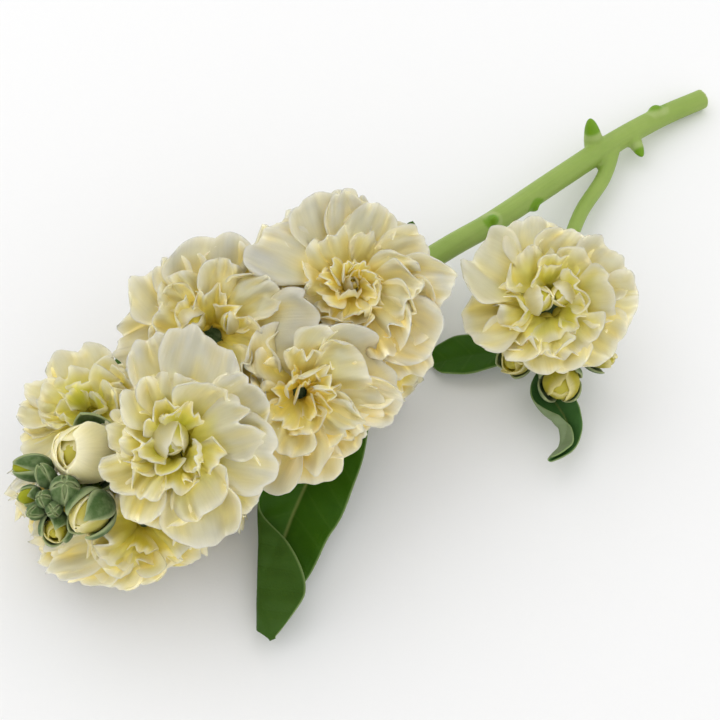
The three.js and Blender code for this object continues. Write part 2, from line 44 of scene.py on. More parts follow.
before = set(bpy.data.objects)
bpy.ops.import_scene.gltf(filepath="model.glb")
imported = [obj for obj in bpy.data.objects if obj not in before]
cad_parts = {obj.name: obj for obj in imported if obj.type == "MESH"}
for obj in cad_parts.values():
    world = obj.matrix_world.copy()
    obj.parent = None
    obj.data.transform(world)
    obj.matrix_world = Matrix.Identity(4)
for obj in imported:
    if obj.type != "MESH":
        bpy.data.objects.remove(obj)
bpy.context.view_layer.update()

MILLIMETRE = 0.001
BED_CENTRE = np.array([5.3, 10.2, 0.0])  # middle of the plant's outline on the floor
STEM_RADIUS = 2.7
STEM_TIP_RADIUS = 1.2
SHOOT_RADIUS = 1.7
STALK_RADIUS = 0.9
BUD_STALK_RADIUS = 0.75
CALYX_LENGTH = 8.0
CALYX_RADIUS = 2.9
CALYX_LIP = -2.5  # along a bloom's axis from its face
CLAW_HALF = 0.7  # half the width of a petal at its root
LEAF_TURN = 2.85  # how far a folded leaf turns over, in radians
CLEARANCE = 0.4  # room between a petal and what it touches
EGG_TAPER = 0.15  # how much slimmer a bud gets towards its tip
WRAP_STEP = 0.24  # from a wrapped petal to the next one inside it
GOLDEN_TURN = 137.5  # degrees from a petal to the next in a bud
WRAP_HALF_ANGLE = 88  # degrees that a petal reaches round its bud, to each side
# Degrees that a sepal reaches round its bloom or bud, to each side
CALYX_HALF_ANGLE = 52
OPEN_BUD_HALF_ANGLE = 44
CLOSED_BUD_HALF_ANGLE = 50
LARGE_BUD = 4.0  # radius above which a bud has petals round it bend away as from a neighbour
BUD_ROOM = 0.5  # room between a bud and the petals round it
CROWDING = 3.0  # depth over which petals bend away from a neighbour
SETTLING = 2.0  # depth over which petals bend along the floor
LOWEST = 0.25  # height of the lowest petal over the floor
JOINT_VOXEL = 0.45  # grain of the skin round stem and stalks
SPINE_SAMPLES = 160  # places along the stem that its marks are measured from

# Points along and across one petal, sepal or leaf
CHOSEN_PETAL_GRID = (28, 27)
PLAIN_PETAL_GRID = (17, 17)
WRAP_GRID = (26, 25)
SEPAL_GRID = (16, 11)
FOLDED_LEAF_GRID = (90, 49)
PLAIN_LEAF_GRID = (48, 25)

# Studio
FLOOR_REACH = 1.6  # metres from the middle of the floor to its edge
KEY_SIZE = 0.7  # metres
KEY_PLACE = (-0.42, 0.38, 0.75)  # metres
CAMERA_TARGET = (0.0, 0.0, 12.0)
CAMERA_DISTANCE = 444.0
CAMERA_ELEVATION = 58  # degrees over the floor
SENSOR_WIDTH = 36

# Stem and shoot centre lines, from the cut end to the tip
STEM_LINE = [
    (85, 82.4, 2.4), (73.2, 75, 4), (61, 65.5, 6), (47.5, 53, 9), (31, 37.5, 12.5), (19, 27.5, 15),
    (-2, 9, 18.5), (-23.5, -9.5, 20.5), (-44, -26, 22), (-55, -35, 23.5), (-61.5, -43.5, 29),
]
SHOOT_LINE = [
    (61.8, 66.8, 6), (58.4, 56, 5.2), (51.8, 44, 5.6), (46.5, 27, 6.6), (44.4, 10, 7.4), (44.6, 1, 8.4),
]


def records(fields, *rows):
    """Rows of values as dictionaries. A row may leave out its last fields."""
    return [dict(zip(fields.split(), row)) for row in rows]


# Petal rings from the outside in. length and width are shares of the bloom's radius, angles are degrees:
# open is how far a petal leans from the bloom's axis, curl how much more its end turns out.
# cup, ruffle and round say how hollow a petal is, how waved and how round at its end.
# root and out place its foot along and off the axis.
RING_FIELDS = "count length width open curl cup ruffle round root out"
PLAIN_RINGS = records(
    RING_FIELDS,
    (5, 1.14, 0.46, 93, 8, 0.35, 0.9, 0.3, -0.2, 1.4),
    (3, 0.9, 0.5, 62, 6, 0.5, 0.9, 0.3, 1.1, 1.6),
    (2, 0.55, 0.34, 22, -20, 0.9, 0.4, 0.3, 2.4, 1.2),
)
# Finer petals that stand between those rings, inside the same outline
BETWEEN_RINGS = records(
    RING_FIELDS,
    (4, 1.02, 0.42, 86, 12, 0.4, 0.9, 0.35, 0.3, 1.5),
    (3, 0.7, 0.34, 48, 12, 0.7, 0.8, 0.35, 1.8, 1.3),
)
# Petals underneath the chosen ones, which give a bloom its depth
UNDER_RINGS = records(
    RING_FIELDS,
    (6, 0.74, 0.4, 103, 6, 0.4, 0.7, 0.35, -0.8, 1.5),
    (5, 0.6, 0.38, 122, 6, 0.4, 0.9, 0.3, -1.4, 1.5),
)
RING_TURN = 29  # degrees from a ring to the next
BETWEEN_SEED = 500  # where the draws of the finer petals start

# What the petals of one layer share, named as above. spread widens them, crumple creases them.
LAYERS = records(
    "layer spread curl cup ruffle round root crumple",
    ("outer", 1.18, 9, 0.32, 0.85, 0.17, -0.2, 0.6),
    ("middle", 1.3, 12, 0.4, 1.25, 0.2, 0.7, 0.85),
    ("inner", 1.35, 8, 0.6, 0.9, 0.22, 1.2, 0.5),
    ("strips", 1.25, 4, 0.8, 0.35, 0.4, 1.6, 0.15),
)

# Petals of the blooms that face up, one by one: azimuth round the bloom from its right, in degrees, length
# and half width in millimetres, and how far it leans from the axis, in degrees.
# foot: distance of the petals' feet from the axis. bare: azimuths without petals underneath, beside a bud.
# hearts: petals still wrapped round each other in the middle, as in BUDS, with their place across the face,
# rise over it, lean and the side they lean to.
PETALS = dict(
    bloom_front=dict(
        centre=(-36.9, -37, 39), faces=(0, -0.5, 0.86), foot=2.8,
        outer=[(98, 20.9, 4.9, 88), (73, 21.7, 7.2, 85), (32, 19.2, 6, 87), (354, 19.9, 7.4, 83),
               (332, 17.6, 5.6, 92), (292, 19.5, 7.4, 90), (256, 15, 6.4, 95), (217, 14, 4, 84),
               (236, 16, 4, 82), (150, 10.5, 5.4, 92), (182, 9.5, 5, 97)],
        middle=[(13, 17.2, 5.4, 68), (302, 13.7, 5.8, 74), (96, 13.5, 5.4, 72), (122, 13, 4.8, 70),
                (55, 14, 5.2, 72), (200, 9, 3.6, 66), (226, 12, 3.2, 60), (158, 8.6, 4, 64)],
        inner=[(172, 9, 4, 46), (260, 8.5, 4.4, 58), (338, 9.1, 3.4, 52), (300, 7.2, 3, 50),
               (70, 8, 3.4, 50), (118, 9, 3.6, 46)],
        strips=[(205, 8.6, 2.8, 26), (262, 7.6, 3, 30), (325, 9.6, 2.6, 30)],
        hearts=[dict(x=-0.7, y=1, radius=3.6, length=9, lean=30, toward=-80, rise=-0.6,
                     wraps=[(160, 96, 8), (10, 60, 46), (55, 66, 26), (-75, 76, 20), (20, 80, 4)])],
        bare=(138, 222),
    ),
    bloom_upper_left=dict(
        centre=(-31, -7, 33), faces=(-0.05, -0.38, 0.92), foot=2.6,
        outer=[(94, 19.7, 8.2, 87), (146, 17.4, 7.2, 89), (180, 18.6, 5.8, 92), (207, 13.5, 4.6, 95),
               (64, 19.7, 6.4, 89), (353, 22.6, 8.6, 73), (313, 15.7, 5.2, 82), (298, 19.3, 4.8, 88),
               (272, 14, 5.4, 94), (120, 16.2, 5.4, 92), (338, 16, 5.4, 90)],
        middle=[(40, 16.5, 4.4, 64), (152, 12.5, 5, 68), (118, 13.5, 5, 70), (73, 15, 3.8, 62),
                (335, 11, 4.6, 62), (192, 11.5, 4.8, 68), (300, 12, 4, 66)],
        inner=[(92, 10, 2.6, 38), (136, 8.5, 3.4, 50), (34, 8.5, 3.2, 44), (208, 8, 3.6, 58)],
        hearts=[dict(x=-4, y=2.2, radius=3.1, length=7.6, lean=14, toward=-40,
                     wraps=[(130, 104, 6), (-30, 74, 26), (-80, 80, 10)]),
                dict(x=4, y=1.8, radius=1.9, length=8.8, lean=10, toward=80,
                     wraps=[(-10, 100, 4), (160, 90, 12)])],
    ),
    bloom_upper=dict(
        centre=(-2, 2.5, 37), faces=(0.03, -0.45, 0.89), foot=1.7,
        outer=[(150, 23.1, 6.8, 80), (110, 20.6, 7.4, 88), (94, 19.8, 4.4, 84), (74, 17.9, 4.8, 82),
               (29, 17, 5.6, 87), (4, 21.6, 5, 79), (343, 19.5, 6.4, 87), (318, 21.3, 6.8, 87),
               (299, 23.4, 6, 95), (270, 16, 6, 96), (190, 15, 6, 97), (225, 15, 6, 97), (130, 19, 5, 94)],
        middle=[(352, 15, 5.2, 63), (331, 15.5, 4.4, 68), (311, 17, 5.4, 76), (16, 15, 4.4, 67),
                (50, 11, 4.4, 65), (162, 10.5, 4.8, 67), (106, 12.5, 4.8, 63), (134, 12, 4.4, 68),
                (252, 10, 5.2, 66), (205, 10, 5, 70)],
        inner=[(254, 8.5, 4.6, 54), (300, 8.8, 4.2, 52), (200, 8, 4, 50), (330, 8, 3.4, 46)],
        strips=[(168, 8.5, 1.9, 32), (132, 9.5, 1.8, 29), (100, 8.4, 1.6, 19), (62, 8.8, 1.6, 25),
                (20, 9, 1.9, 29), (340, 7, 2, 31), (80, 6.4, 1.5, 8), (250, 6.4, 2.2, 22)],
        hearts=[dict(x=0.2, y=0.4, radius=1.7, length=7.4, lean=8, toward=90, rise=-0.6,
                     wraps=[(200, 92, 14), (20, 66, 40), (110, 70, 26), (300, 76, 18)])],
    ),
    bloom_right=dict(
        centre=(-12.6, -19.7, 31), faces=(0.12, -0.66, 0.74), foot=1.6,
        outer=[(27, 18.6, 8.6, 90), (64, 15.3, 7.2, 84), (0, 20.6, 4.6, 89), (337, 16.8, 5.6, 85),
               (315, 14.6, 5.4, 88), (300, 15.7, 5.8, 85), (268, 18.2, 6.8, 87), (244, 21.5, 6, 93),
               (120, 11, 5.4, 95), (160, 10, 4.6, 96), (214, 14.5, 5.4, 95)],
        middle=[(22, 14.5, 7.2, 72), (340, 14.5, 3.8, 66), (325, 14, 3.6, 62), (243, 12.5, 4.8, 66),
                (285, 12.5, 5.4, 67), (264, 15.5, 5.8, 77), (70, 10.5, 4.8, 68), (200, 9, 4, 66)],
        inner=[(230, 8, 3.4, 54), (280, 8.6, 3.6, 54), (45, 8.6, 3.4, 52)],
        strips=[(15, 8.6, 1.9, 48), (355, 7.4, 1.7, 36), (330, 7.6, 2, 46), (72, 7, 2.4, 40),
                (176, 5.8, 2.3, 48), (120, 6, 2.3, 42), (300, 6.4, 2, 34), (90, 5.4, 1.6, 14)],
    ),
    bloom_left=dict(
        centre=(-55.3, -23.5, 27), faces=(-0.3, -0.1, 0.93), foot=1.8,
        outer=[(98, 15, 6.2, 84), (118, 13.4, 5.4, 89), (144, 15.6, 4.6, 90), (172, 15.4, 4.4, 90),
               (203, 15.6, 6.4, 93), (225, 22, 4.6, 97), (56, 10.6, 4, 84), (20, 10, 5.4, 88),
               (340, 10, 5.4, 90), (245, 12.5, 5.4, 96), (290, 10, 5.4, 96)],
        bare=(40, 100),
        middle=[(104, 9.6, 5.6, 70), (146, 11, 4.4, 72), (182, 10, 3.8, 70), (30, 8.4, 4.4, 63),
                (335, 7.6, 4.6, 60)],
        inner=[(70, 6.4, 4.4, 50), (200, 6.6, 2.8, 46)],
        strips=[(0, 6.2, 2.2, 42), (130, 6, 2.4, 36)],
    ),
    bloom_foot=dict(
        centre=(-44.8, -43.6, 19), faces=(0.02, -0.72, 0.69), foot=1.6,
        outer=[(202, 20.7, 4.4, 92), (218, 17.9, 5.4, 90), (238, 14.3, 5.8, 88), (263, 11.2, 5.6, 85),
               (294, 10, 5.8, 85), (327, 12, 5.4, 89), (348, 12, 5, 91), (178, 11, 4.6, 89),
               (35, 11, 5.4, 96), (85, 11, 5.4, 96), (135, 12, 5.4, 96)],
        middle=[(186, 10.5, 7, 52), (335, 11, 3.6, 58), (246, 9.5, 6, 60), (293, 8.5, 5, 60),
                (215, 11.7, 4.6, 72), (120, 8, 5.4, 56), (60, 8, 5, 56)],
        inner=[(20, 6, 3.4, 44), (250, 5.9, 3.6, 40)],
        bare=(240, 300),
    ),
    bloom_side=dict(
        centre=(41.2, 7.6, 23), faces=(0, -0.36, 0.93), foot=3.3,
        outer=[(150, 17, 7.8, 88), (201, 17.2, 6.4, 92), (106, 16.8, 5.6, 86), (73, 14.7, 6.8, 84),
               (28, 16.6, 6.8, 87), (353, 16.8, 6.8, 88), (320, 16, 6.8, 90), (275, 13.4, 6.8, 89),
               (229, 12.3, 5.8, 89)],
        middle=[(5, 12.7, 5.6, 69), (77, 9, 3.6, 60), (197, 10.1, 4.4, 71), (126, 9.9, 5.2, 68),
                (250, 10.1, 5.8, 75), (300, 11.5, 6.2, 75), (42, 11, 5, 73)],
        inner=[(275, 7.4, 4.4, 54), (188, 7.2, 3.6, 44), (14, 7.8, 4, 44), (330, 7.4, 3.4, 54),
               (95, 6.6, 3.4, 42)],
        hearts=[dict(x=-2.2, y=0.2, radius=3.2, length=8.4, lean=12, toward=0, rise=-0.4,
                     wraps=[(185, 92, 10), (20, 62, 44), (75, 66, 28), (-40, 80, 16)]),
                dict(x=2.8, y=1.4, radius=2.9, length=8.2, lean=20, toward=225, rise=-0.4,
                     wraps=[(40, 96, 12), (230, 62, 44), (160, 74, 28), (300, 80, 18)])],
    ),
)

# Blooms. at: where the stalk leaves its stem, from the cut end. centre: middle of the face.
# radius: reach of the petals. room: share of the space between two neighbours. turn and seed: petals' own.
# green: how green the throat is, between a warm yellow one and a green one.
BLOOMS = records(
    "name on at centre faces radius room turn seed green",
    ("bloom_upper", "stem", 112, (-5, 0.5, 37), (0.05, -0.4, 0.9), 23.5, 21.5, 20, 11, 0.1),
    ("bloom_upper_left", "stem", 146, (-26.5, -5.5, 33.5), (-0.1, -0.2, 0.97), 23, 23.5, 50, 12, 0.35),
    ("bloom_front", "stem", 160, (-34, -34.5, 39), (0, -0.5, 0.86), 20.5, 22, 75, 13, 0.85),
    ("bloom_right", "stem", 132, (-9.4, -19.5, 31), (0.15, -0.72, 0.66), 20, 23, 45, 14, 0.1),
    ("bloom_left", "stem", 172, (-53, -25.5, 27), (-0.3, 0, 0.93), 19, 19, 35, 15, 0.8),
    ("bloom_foot", "stem", 176, (-48.5, -42, 19), (0.05, -1, 0.1), 18.5, 19, 60, 16, 0.6),
    ("bloom_under_right", "stem", 108, (3.5, -1, 15.5), (0.6, -0.65, 0.3), 12, 18, 15, 17, 0.2),
    ("bloom_under_front", "stem", 150, (-33.5, -35, 11), (0.3, -0.8, -0.4), 9, 17, 40, 18, 0.3),
    ("bloom_under_left", "stem", 180, (-62, -36, 9.5), (-0.85, -0.3, -0.3), 12.5, 14, 5, 19, 0.4),
    ("bloom_back", "stem", 150, (-38, -3, 12.5), (-0.5, 0.8, -0.1), 16, 18, 25, 20, 0.6),
    ("bloom_back_upper", "stem", 114, (-10, 20, 16), (-0.4, 0.9, 0), 18, 18, 70, 21, 0.5),
    ("bloom_under", "stem", 128, (-20, -4, 4.5), (-0.05, 0.1, -1), 18, 18, 30, 22, 0.5),
    ("bloom_side", "shoot", 56, (40.8, 10, 23), (0, -0.28, 0.96), 18.5, 19, 66, 25, 0.7),
)

# Buds that open. petals: the node of the petals that show. foot: where the stalk starts. length and radius:
# of the egg. lip: height of the sepals as a share of the length. tops: how far the petals' ends close over
# the tip, in degrees. yellow: how yellow, from 0 to 1. wraps: how many petals, or for each the way it faces,
# half its width and how near the tip it ends, in degrees. flat: height of an egg that is not quite round, as
# a share of its width.
TIP = (-61, -42.5, 27.5)
SHOOT_TIP = (44.6, 1.5, 8.2)
BUDS = records(
    "petals foot centre faces length radius lip tops yellow seed wraps flat",
    ("bud_opening", (-53, -33.5, 23.4), (-56, -36, 34), (-0.4, -0.42, 0.82), 15, 7.1, -0.22, -14, 0.1, 41,
     [(-8, 104, 20), (205, 84, 32), (168, 84, 24), (80, 80, 28), (300, 84, 24), (192, 76, 14), (20, 80, 15),
      (110, 90, 6), (250, 90, 3)], 0.86),
    ("bud_front", (-56.6, -37, 24.8), (-54.4, -48.8, 31.6), (-0.45, -0.8, 0.4),
     9.4, 3.9, 0.26, -4, 0.6, 42, 4),
    ("bud_yellow", TIP, (-61.4, -50.4, 28), (-0.05, -0.8, 0.55), 6.4, 2.4, 0.27, 24, 1.0, 43, 3),
    ("bud_side_left", SHOOT_TIP, (34.6, 1.7, 9.6), (-0.45, -0.7, 0.5), 8, 3.4, 0.02, 34, 0.85, 44, 4),
    ("bud_side_front", SHOOT_TIP, (44.4, -5.4, 11), (0, -0.75, 0.65), 9, 4, 0.02, 20, 1.0, 45, 3),
    ("bud_side_right", SHOOT_TIP, (54, 2.2, 9.6), (0.7, -0.55, 0.4), 8, 2.5, 0.02, 24, 0.8, 46, 3),
) + records(  # closed buds at the tip. peep: the gap that shows the petals, in degrees
    "foot centre faces length radius seed peep",
    (TIP, (-67, -37.5, 30.5), (-0.97, -0.05, 0.2), 8.4, 2.6, 47, 24),
    (TIP, (-59.2, -44.5, 34), (0.1, -0.1, 1), 6.4, 2.9, 48),
    (TIP, (-63.6, -40.8, 33.2), (-0.3, 0.35, 0.9), 5.6, 1.8, 49),
    (TIP, (-67.2, -43.8, 30), (-0.6, -0.5, 0.6), 5.4, 2, 50, 52),
    (TIP, (-63.4, -46, 33), (-0.2, -0.3, 0.95), 5, 1.5, 51),
    (TIP, (-61.5, -47.8, 32), (0.1, -0.6, 0.8), 4.6, 1.5, 52),
    (TIP, (-65.4, -47.6, 30.5), (-0.4, -0.6, 0.7), 4.6, 1.4, 53),
)

# Stubs of side shoots and leaf scars on the stem: place, way it points, length, radius at its foot
STUBS = [
    ((55.8, 65.3, 10), (-0.2, 0.35, 0.9), 8.8, 2.5),
    ((67.4, 65.4, 4.4), (0.35, -0.9, -0.1), 5.6, 1.8),
    ((72.4, 75.8, 5.6), (-0.2, 0.6, 0.8), 3.2, 2.6),
    ((30.5, 36.2, 14.6), (0.2, -0.3, 1), 4.4, 1.9),
    ((40.4, 44.6, 9.6), (0.4, -0.8, 0.1), 4.4, 2.2),
]

# Leaves. midrib and half widths run from base to tip, with left_widths where the left half differs.
# side: the way the right half lies. lifts: how far the left and right halves rise, in degrees.
# fold: a line over which the blade turns back, along and across the leaf, with the radius of its bend.
LEAVES = [
    dict(name="leaf_large", side=(0.92, -0.39, 0), lifts=(12, 8), waves=0.9, seed=31,
         midrib=[(2, 4, 15), (-1.4, -8, 13.5), (-5.7, -18, 11.5), (-10, -26, 9), (-14.2, -35, 6.2),
                 (-16.9, -42.3, 4.4), (-20.8, -51.6, 2.8), (-24.6, -61.2, 1.6), (-25.8, -64.2, 1.4)],
         widths=(2, 4.5, 6.6, 9.2, 10.4, 9.4, 8.2, 4.6, 1.2),
         left_widths=(2, 4.5, 7.4, 9, 9.2, 8.6, 11.4, 12, 8.6),
         fold=dict(start=(43, -7), end=(71.5, 4.4), bend=1.1)),
    dict(name="leaf_oval", side=(-0.1, -1, 0), lifts=(8, 8), waves=0.3, seed=32,
         midrib=[(44.6, 8.6, 6.4), (36, 8, 3.6), (29.6, 7.6, 3), (22.7, 6.9, 2.4), (16, 5.8, 1.4)],
         widths=(1, 1.8, 4.4, 5.2, 3.4), plain=1),
    dict(name="leaf_curled", side=(0.9, -0.35, 0.2), lifts=(36, 20), waves=0.3, seed=33, frost=1,
         midrib=[(42.4, 2, 4.6), (42.9, -5, 4.8), (45.5, -10.4, 4.6),
                 (46.2, -14, 4.2), (44.5, -18.2, 3.8), (39.6, -22.3, 4.8)],
         widths=(2.6, 5, 4.6, 3.4, 2.8, 1.6), left_widths=(2.6, 5, 6, 5.6, 4.6, 2),
         fold=dict(start=(6, -5), end=(17, -1.2), bend=0.7)),
    dict(name="leaf_tip_left", side=(-0.7, -0.7, 0), lifts=(15, 15), waves=0.3, seed=34,
         midrib=[(-47.5, -21, 18.5), (-51, -10, 14), (-53, -2, 10.5), (-53.8, 4.9, 8)],
         widths=(1, 2.6, 2.6, 0.8)),
    dict(name="leaf_tip_back", side=(-0.8, 0.6, 0), lifts=(15, 15), waves=0.3, seed=35,
         midrib=[(6, 17, 16.5), (8, 24, 15.5), (10.4, 30, 15), (12.2, 36.4, 14.5)],
         widths=(1, 2.8, 2.6, 0.8)),
]


# Numbers, curves and frames

def smooth(low, high, x):
    t = np.clip((x - low) / (high - low), 0, 1)
    return t * t * (3 - 2 * t)


def unit(vectors):
    vectors = np.asarray(vectors, float)
    return vectors / np.maximum(np.linalg.norm(vectors, axis=-1, keepdims=True), 1e-12)


def dice(seed):
    """Repeatable draws between two limits."""
    modulus, multiplier = 2147483647, 48271
    state = (seed * 7919 + 17) % modulus

    def roll(low, high):
        nonlocal state
        state = (state * multiplier) % modulus
        return low + (high - low) * state / modulus

    return roll


def catmull_rom(padded, spots):
    """Points at spots, counted in spans, of the curve through all but the first and last of padded."""
    padded = np.asarray(padded, float)
    spots = np.clip(np.asarray(spots, float), 0, len(padded) - 3)
    i = np.minimum(spots.astype(int), len(padded) - 4)
    t = (spots - i).reshape(spots.shape + (1,) * (padded.ndim - 1))
    before, start, end, after = (padded[i + k] for k in range(4))
    leave, arrive = (end - before) / 2, (after - start) / 2
    return ((2 * start - 2 * end + leave + arrive) * t ** 3
            + (3 * end - 3 * start - 2 * leave - arrive) * t ** 2 + leave * t + start)


class Line:
    """A curve measured by its length."""

    def __init__(self, points):
        self.points = np.asarray(points, float)
        steps = np.linalg.norm(np.diff(self.points, axis=0), axis=1)
        self.run = np.concatenate([[0], np.cumsum(steps)])
        self.length = self.run[-1]
        self.headings = unit(np.gradient(self.points, self.run, axis=0))

    @classmethod
    def through(cls, points, samples=400):
        points = np.asarray(points, float)
        padded = np.vstack([2 * points[0] - points[1], points, 2 * points[-1] - points[-2]])
        return cls(catmull_rom(padded, np.linspace(0, len(points) - 1, samples)))

    @classmethod
    def bent(cls, start, knee, end, samples=40):
        t = np.linspace(0, 1, samples)[:, None]
        start, knee, end = (np.asarray(p, float) for p in (start, knee, end))
        return cls(start * (1 - t) ** 2 + 2 * knee * t * (1 - t) + end * t ** 2)

    def _read(self, table, share):
        run = np.asarray(share, float) * self.length
        return np.stack([np.interp(run, self.run, table[:, k]) for k in range(3)], axis=-1)

    def at(self, share):
        return self._read(self.points, share)

    def heading(self, share):
        return unit(self._read(self.headings, share))


STEM = Line.through(STEM_LINE)
SHOOT = Line.through(SHOOT_LINE)


def frame_of(thing):
    """Centre of a bloom or bud, and the rows right, up and axis: axis is the way it faces."""
    axis = unit(thing["faces"])
    right = unit(np.array([1.0, 0, 0]) - axis * axis[0])
    return np.asarray(thing["centre"], float), np.array([right, np.cross(axis, right), axis])


def placed(points, thing):
    centre, rows = frame_of(thing)
    return points @ rows + centre


# Meshes, gathered part by part

def write_number(mesh, name, column):
    """Gives each point of a mesh a number that the materials read."""
    mesh.attributes.new(name, "FLOAT", "POINT").data.foreach_set("value", column.astype(np.float32))


class Shape:
    """Points, faces and numbers per point of one mesh."""

    def __init__(self):
        self.points, self.faces, self.values, self.count = [], [], [], 0

    def add(self, points, faces, **values):
        points = np.asarray(points, float).reshape(-1, 3)
        count = len(points)
        self.points.append(points)
        self.faces += [np.asarray(face) + self.count for face in faces]
        full = {name: np.broadcast_to(np.asarray(v, float).ravel(), count) for name, v in values.items()}
        self.values.append((count, full))
        self.count += count

    def mesh(self, name):
        points = (np.vstack(self.points) - BED_CENTRE) * MILLIMETRE
        faces = [face.tolist() for block in self.faces for face in block]
        mesh = bpy.data.meshes.new(name)
        mesh.from_pydata(points.tolist(), [], faces)
        for key in sorted({key for _, full in self.values for key in full}):
            column = np.concatenate([full.get(key, np.zeros(count)) for count, full in self.values])
            write_number(mesh, key, column)
        mesh.validate()
        return mesh


def grid_faces(rows, columns, start=0, turned=False):
    i, j = np.meshgrid(np.arange(rows - 1), np.arange(columns - 1), indexing="ij")
    corner = (start + i * columns + j).ravel()
    quads = np.stack([corner, corner + 1, corner + columns + 1, corner + columns], axis=1)
    return quads[:, ::-1] if turned else quads


def wall_faces(rings, sides):
    """Faces between closed rings of points."""
    i, j = np.meshgrid(np.arange(rings - 1), np.arange(sides), indexing="ij")
    corner, side = (i * sides + j).ravel(), (i * sides + (j + 1) % sides).ravel()
    return np.stack([corner, side, side + sides, corner + sides], axis=1)


def egg_width(polar, radius):
    """Half the width of an egg, a little narrower towards its tip, at angles from the tip."""
    return np.sin(polar) * radius * (1 - EGG_TAPER * np.cos(polar))


def add_sheet(shape, points, half, **values):
    """A closed thin blade over a grid of points: half, its half thickness, may change from point to point.
    Attribute face is 1 on the side that looks up the bloom or leaf, and 0 on the other."""
    rows, columns = points.shape[:2]
    lengthwise, crosswise = np.gradient(points, axis=0), np.gradient(points, axis=1)
    normal = unit(np.cross(crosswise, lengthwise))
    half = np.broadcast_to(half, (rows, columns))[..., None]
    top, bottom = points + normal * half, points - normal * half
    count = rows * columns
    loop = np.concatenate([
        np.arange(columns - 1), np.arange(rows - 1) * columns + columns - 1,
        (rows - 1) * columns + np.arange(columns - 1, 0, -1), np.arange(rows - 1, 0, -1) * columns,
    ])
    ahead = np.roll(loop, -1)
    rim = np.stack([loop, loop + count, ahead + count, ahead], axis=1)
    doubled = {name: np.tile(np.broadcast_to(v, (rows, columns)).ravel(), 2) for name, v in values.items()}
    doubled["face"] = np.repeat([1.0, 0.0], count)
    faces = [grid_faces(rows, columns), grid_faces(rows, columns, count, turned=True), rim]
    shape.add(np.vstack([top.reshape(-1, 3), bottom.reshape(-1, 3)]), faces, **doubled)


def add_bar(shape, line, radius_at, sides, steps):
    """A round bar along a line with a flat end at each side. radius_at takes shares and angles."""
    shares = np.linspace(0, 1, steps + 1)
    centres, headings = line.at(shares), line.heading(shares)
    across = np.zeros_like(centres)
    across[0] = unit(np.cross(headings[0], (0.3, 0.2, 1)))
    for k in range(1, steps + 1):
        across[k] = unit(across[k - 1] - headings[k] * (across[k - 1] @ headings[k]))
    upward = np.cross(headings, across)
    angle = np.linspace(0, 2 * np.pi, sides, endpoint=False)
    radius = np.broadcast_to(radius_at(shares[:, None], angle[None, :]), (steps + 1, sides))[..., None]
    ring = np.cos(angle)[None, :, None] * across[:, None] + np.sin(angle)[None, :, None] * upward[:, None]
    points = centres[:, None] + ring * radius
    ends = [np.arange(sides)[::-1][None], (steps * sides + np.arange(sides))[None]]
    shape.add(points, [wall_faces(steps + 1, sides), *ends])


def add_egg(shape, thing, radius, length, sides=24, rings=16, **values):
    """A closed egg in a bud's frame."""
    polar = np.linspace(np.pi, 0, rings + 1)[1:-1, None]
    angle = np.linspace(0, 2 * np.pi, sides, endpoint=False)[None, :]
    width = egg_width(polar, radius)
    z = np.broadcast_to(np.cos(polar) * length / 2, (rings - 1, sides))
    body = np.stack([width * np.cos(angle), width * np.sin(angle), z], axis=-1).reshape(-1, 3)
    points = np.vstack([body, [[0, 0, -length / 2], [0, 0, length / 2]]])
    first = np.arange(sides)
    last = (rings - 2) * sides + first
    foot = np.stack([np.roll(first, -1), first, np.full(sides, len(body))], axis=1)
    cap = np.stack([last, np.roll(last, -1), np.full(sides, len(body) + 1)], axis=1)
    shape.add(placed(points, thing), [wall_faces(rings - 1, sides), foot, cap], **values)


# Blooms

def ring_petals(bloom):
    """Petals in even rings: azimuth, length, half width, lean, what their ring shares, and the seed."""
    rings = [(ring, k, BETWEEN_SEED) for k, ring in enumerate(UNDER_RINGS)]
    bare = PETALS.get(bloom["name"], {}).get("bare", (0, 0))
    if bloom["name"] not in PETALS:
        rings = [(ring, k, 0) for k, ring in enumerate(PLAIN_RINGS)]
        rings += [(ring, k, BETWEEN_SEED) for k, ring in enumerate(BETWEEN_RINGS)]
    for ring, k, offset in rings:
        for i in range(ring["count"]):
            turn = bloom["turn"] + k * RING_TURN + (RING_TURN / 2 if offset else 0)
            azimuth = (turn + 360 / ring["count"] * i) % 360
            seed = bloom["seed"] * 101 + offset + k * 17 + i
            if not bare[0] < azimuth < bare[1]:
                yield (azimuth, bloom["radius"] * ring["length"], bloom["radius"] * ring["width"],
                       ring["open"], ring, seed)


def chosen_petals(bloom):
    """Petals of a bloom that faces up, placed one by one."""
    own = PETALS[bloom["name"]]
    seed = bloom["seed"] * 101 + 2 * BETWEEN_SEED
    for layer in LAYERS:
        for azimuth, length, half, lean in own.get(layer["layer"], []):
            seed += 1
            yield azimuth, length, half * layer["spread"], lean, dict(layer, out=own["foot"]), seed


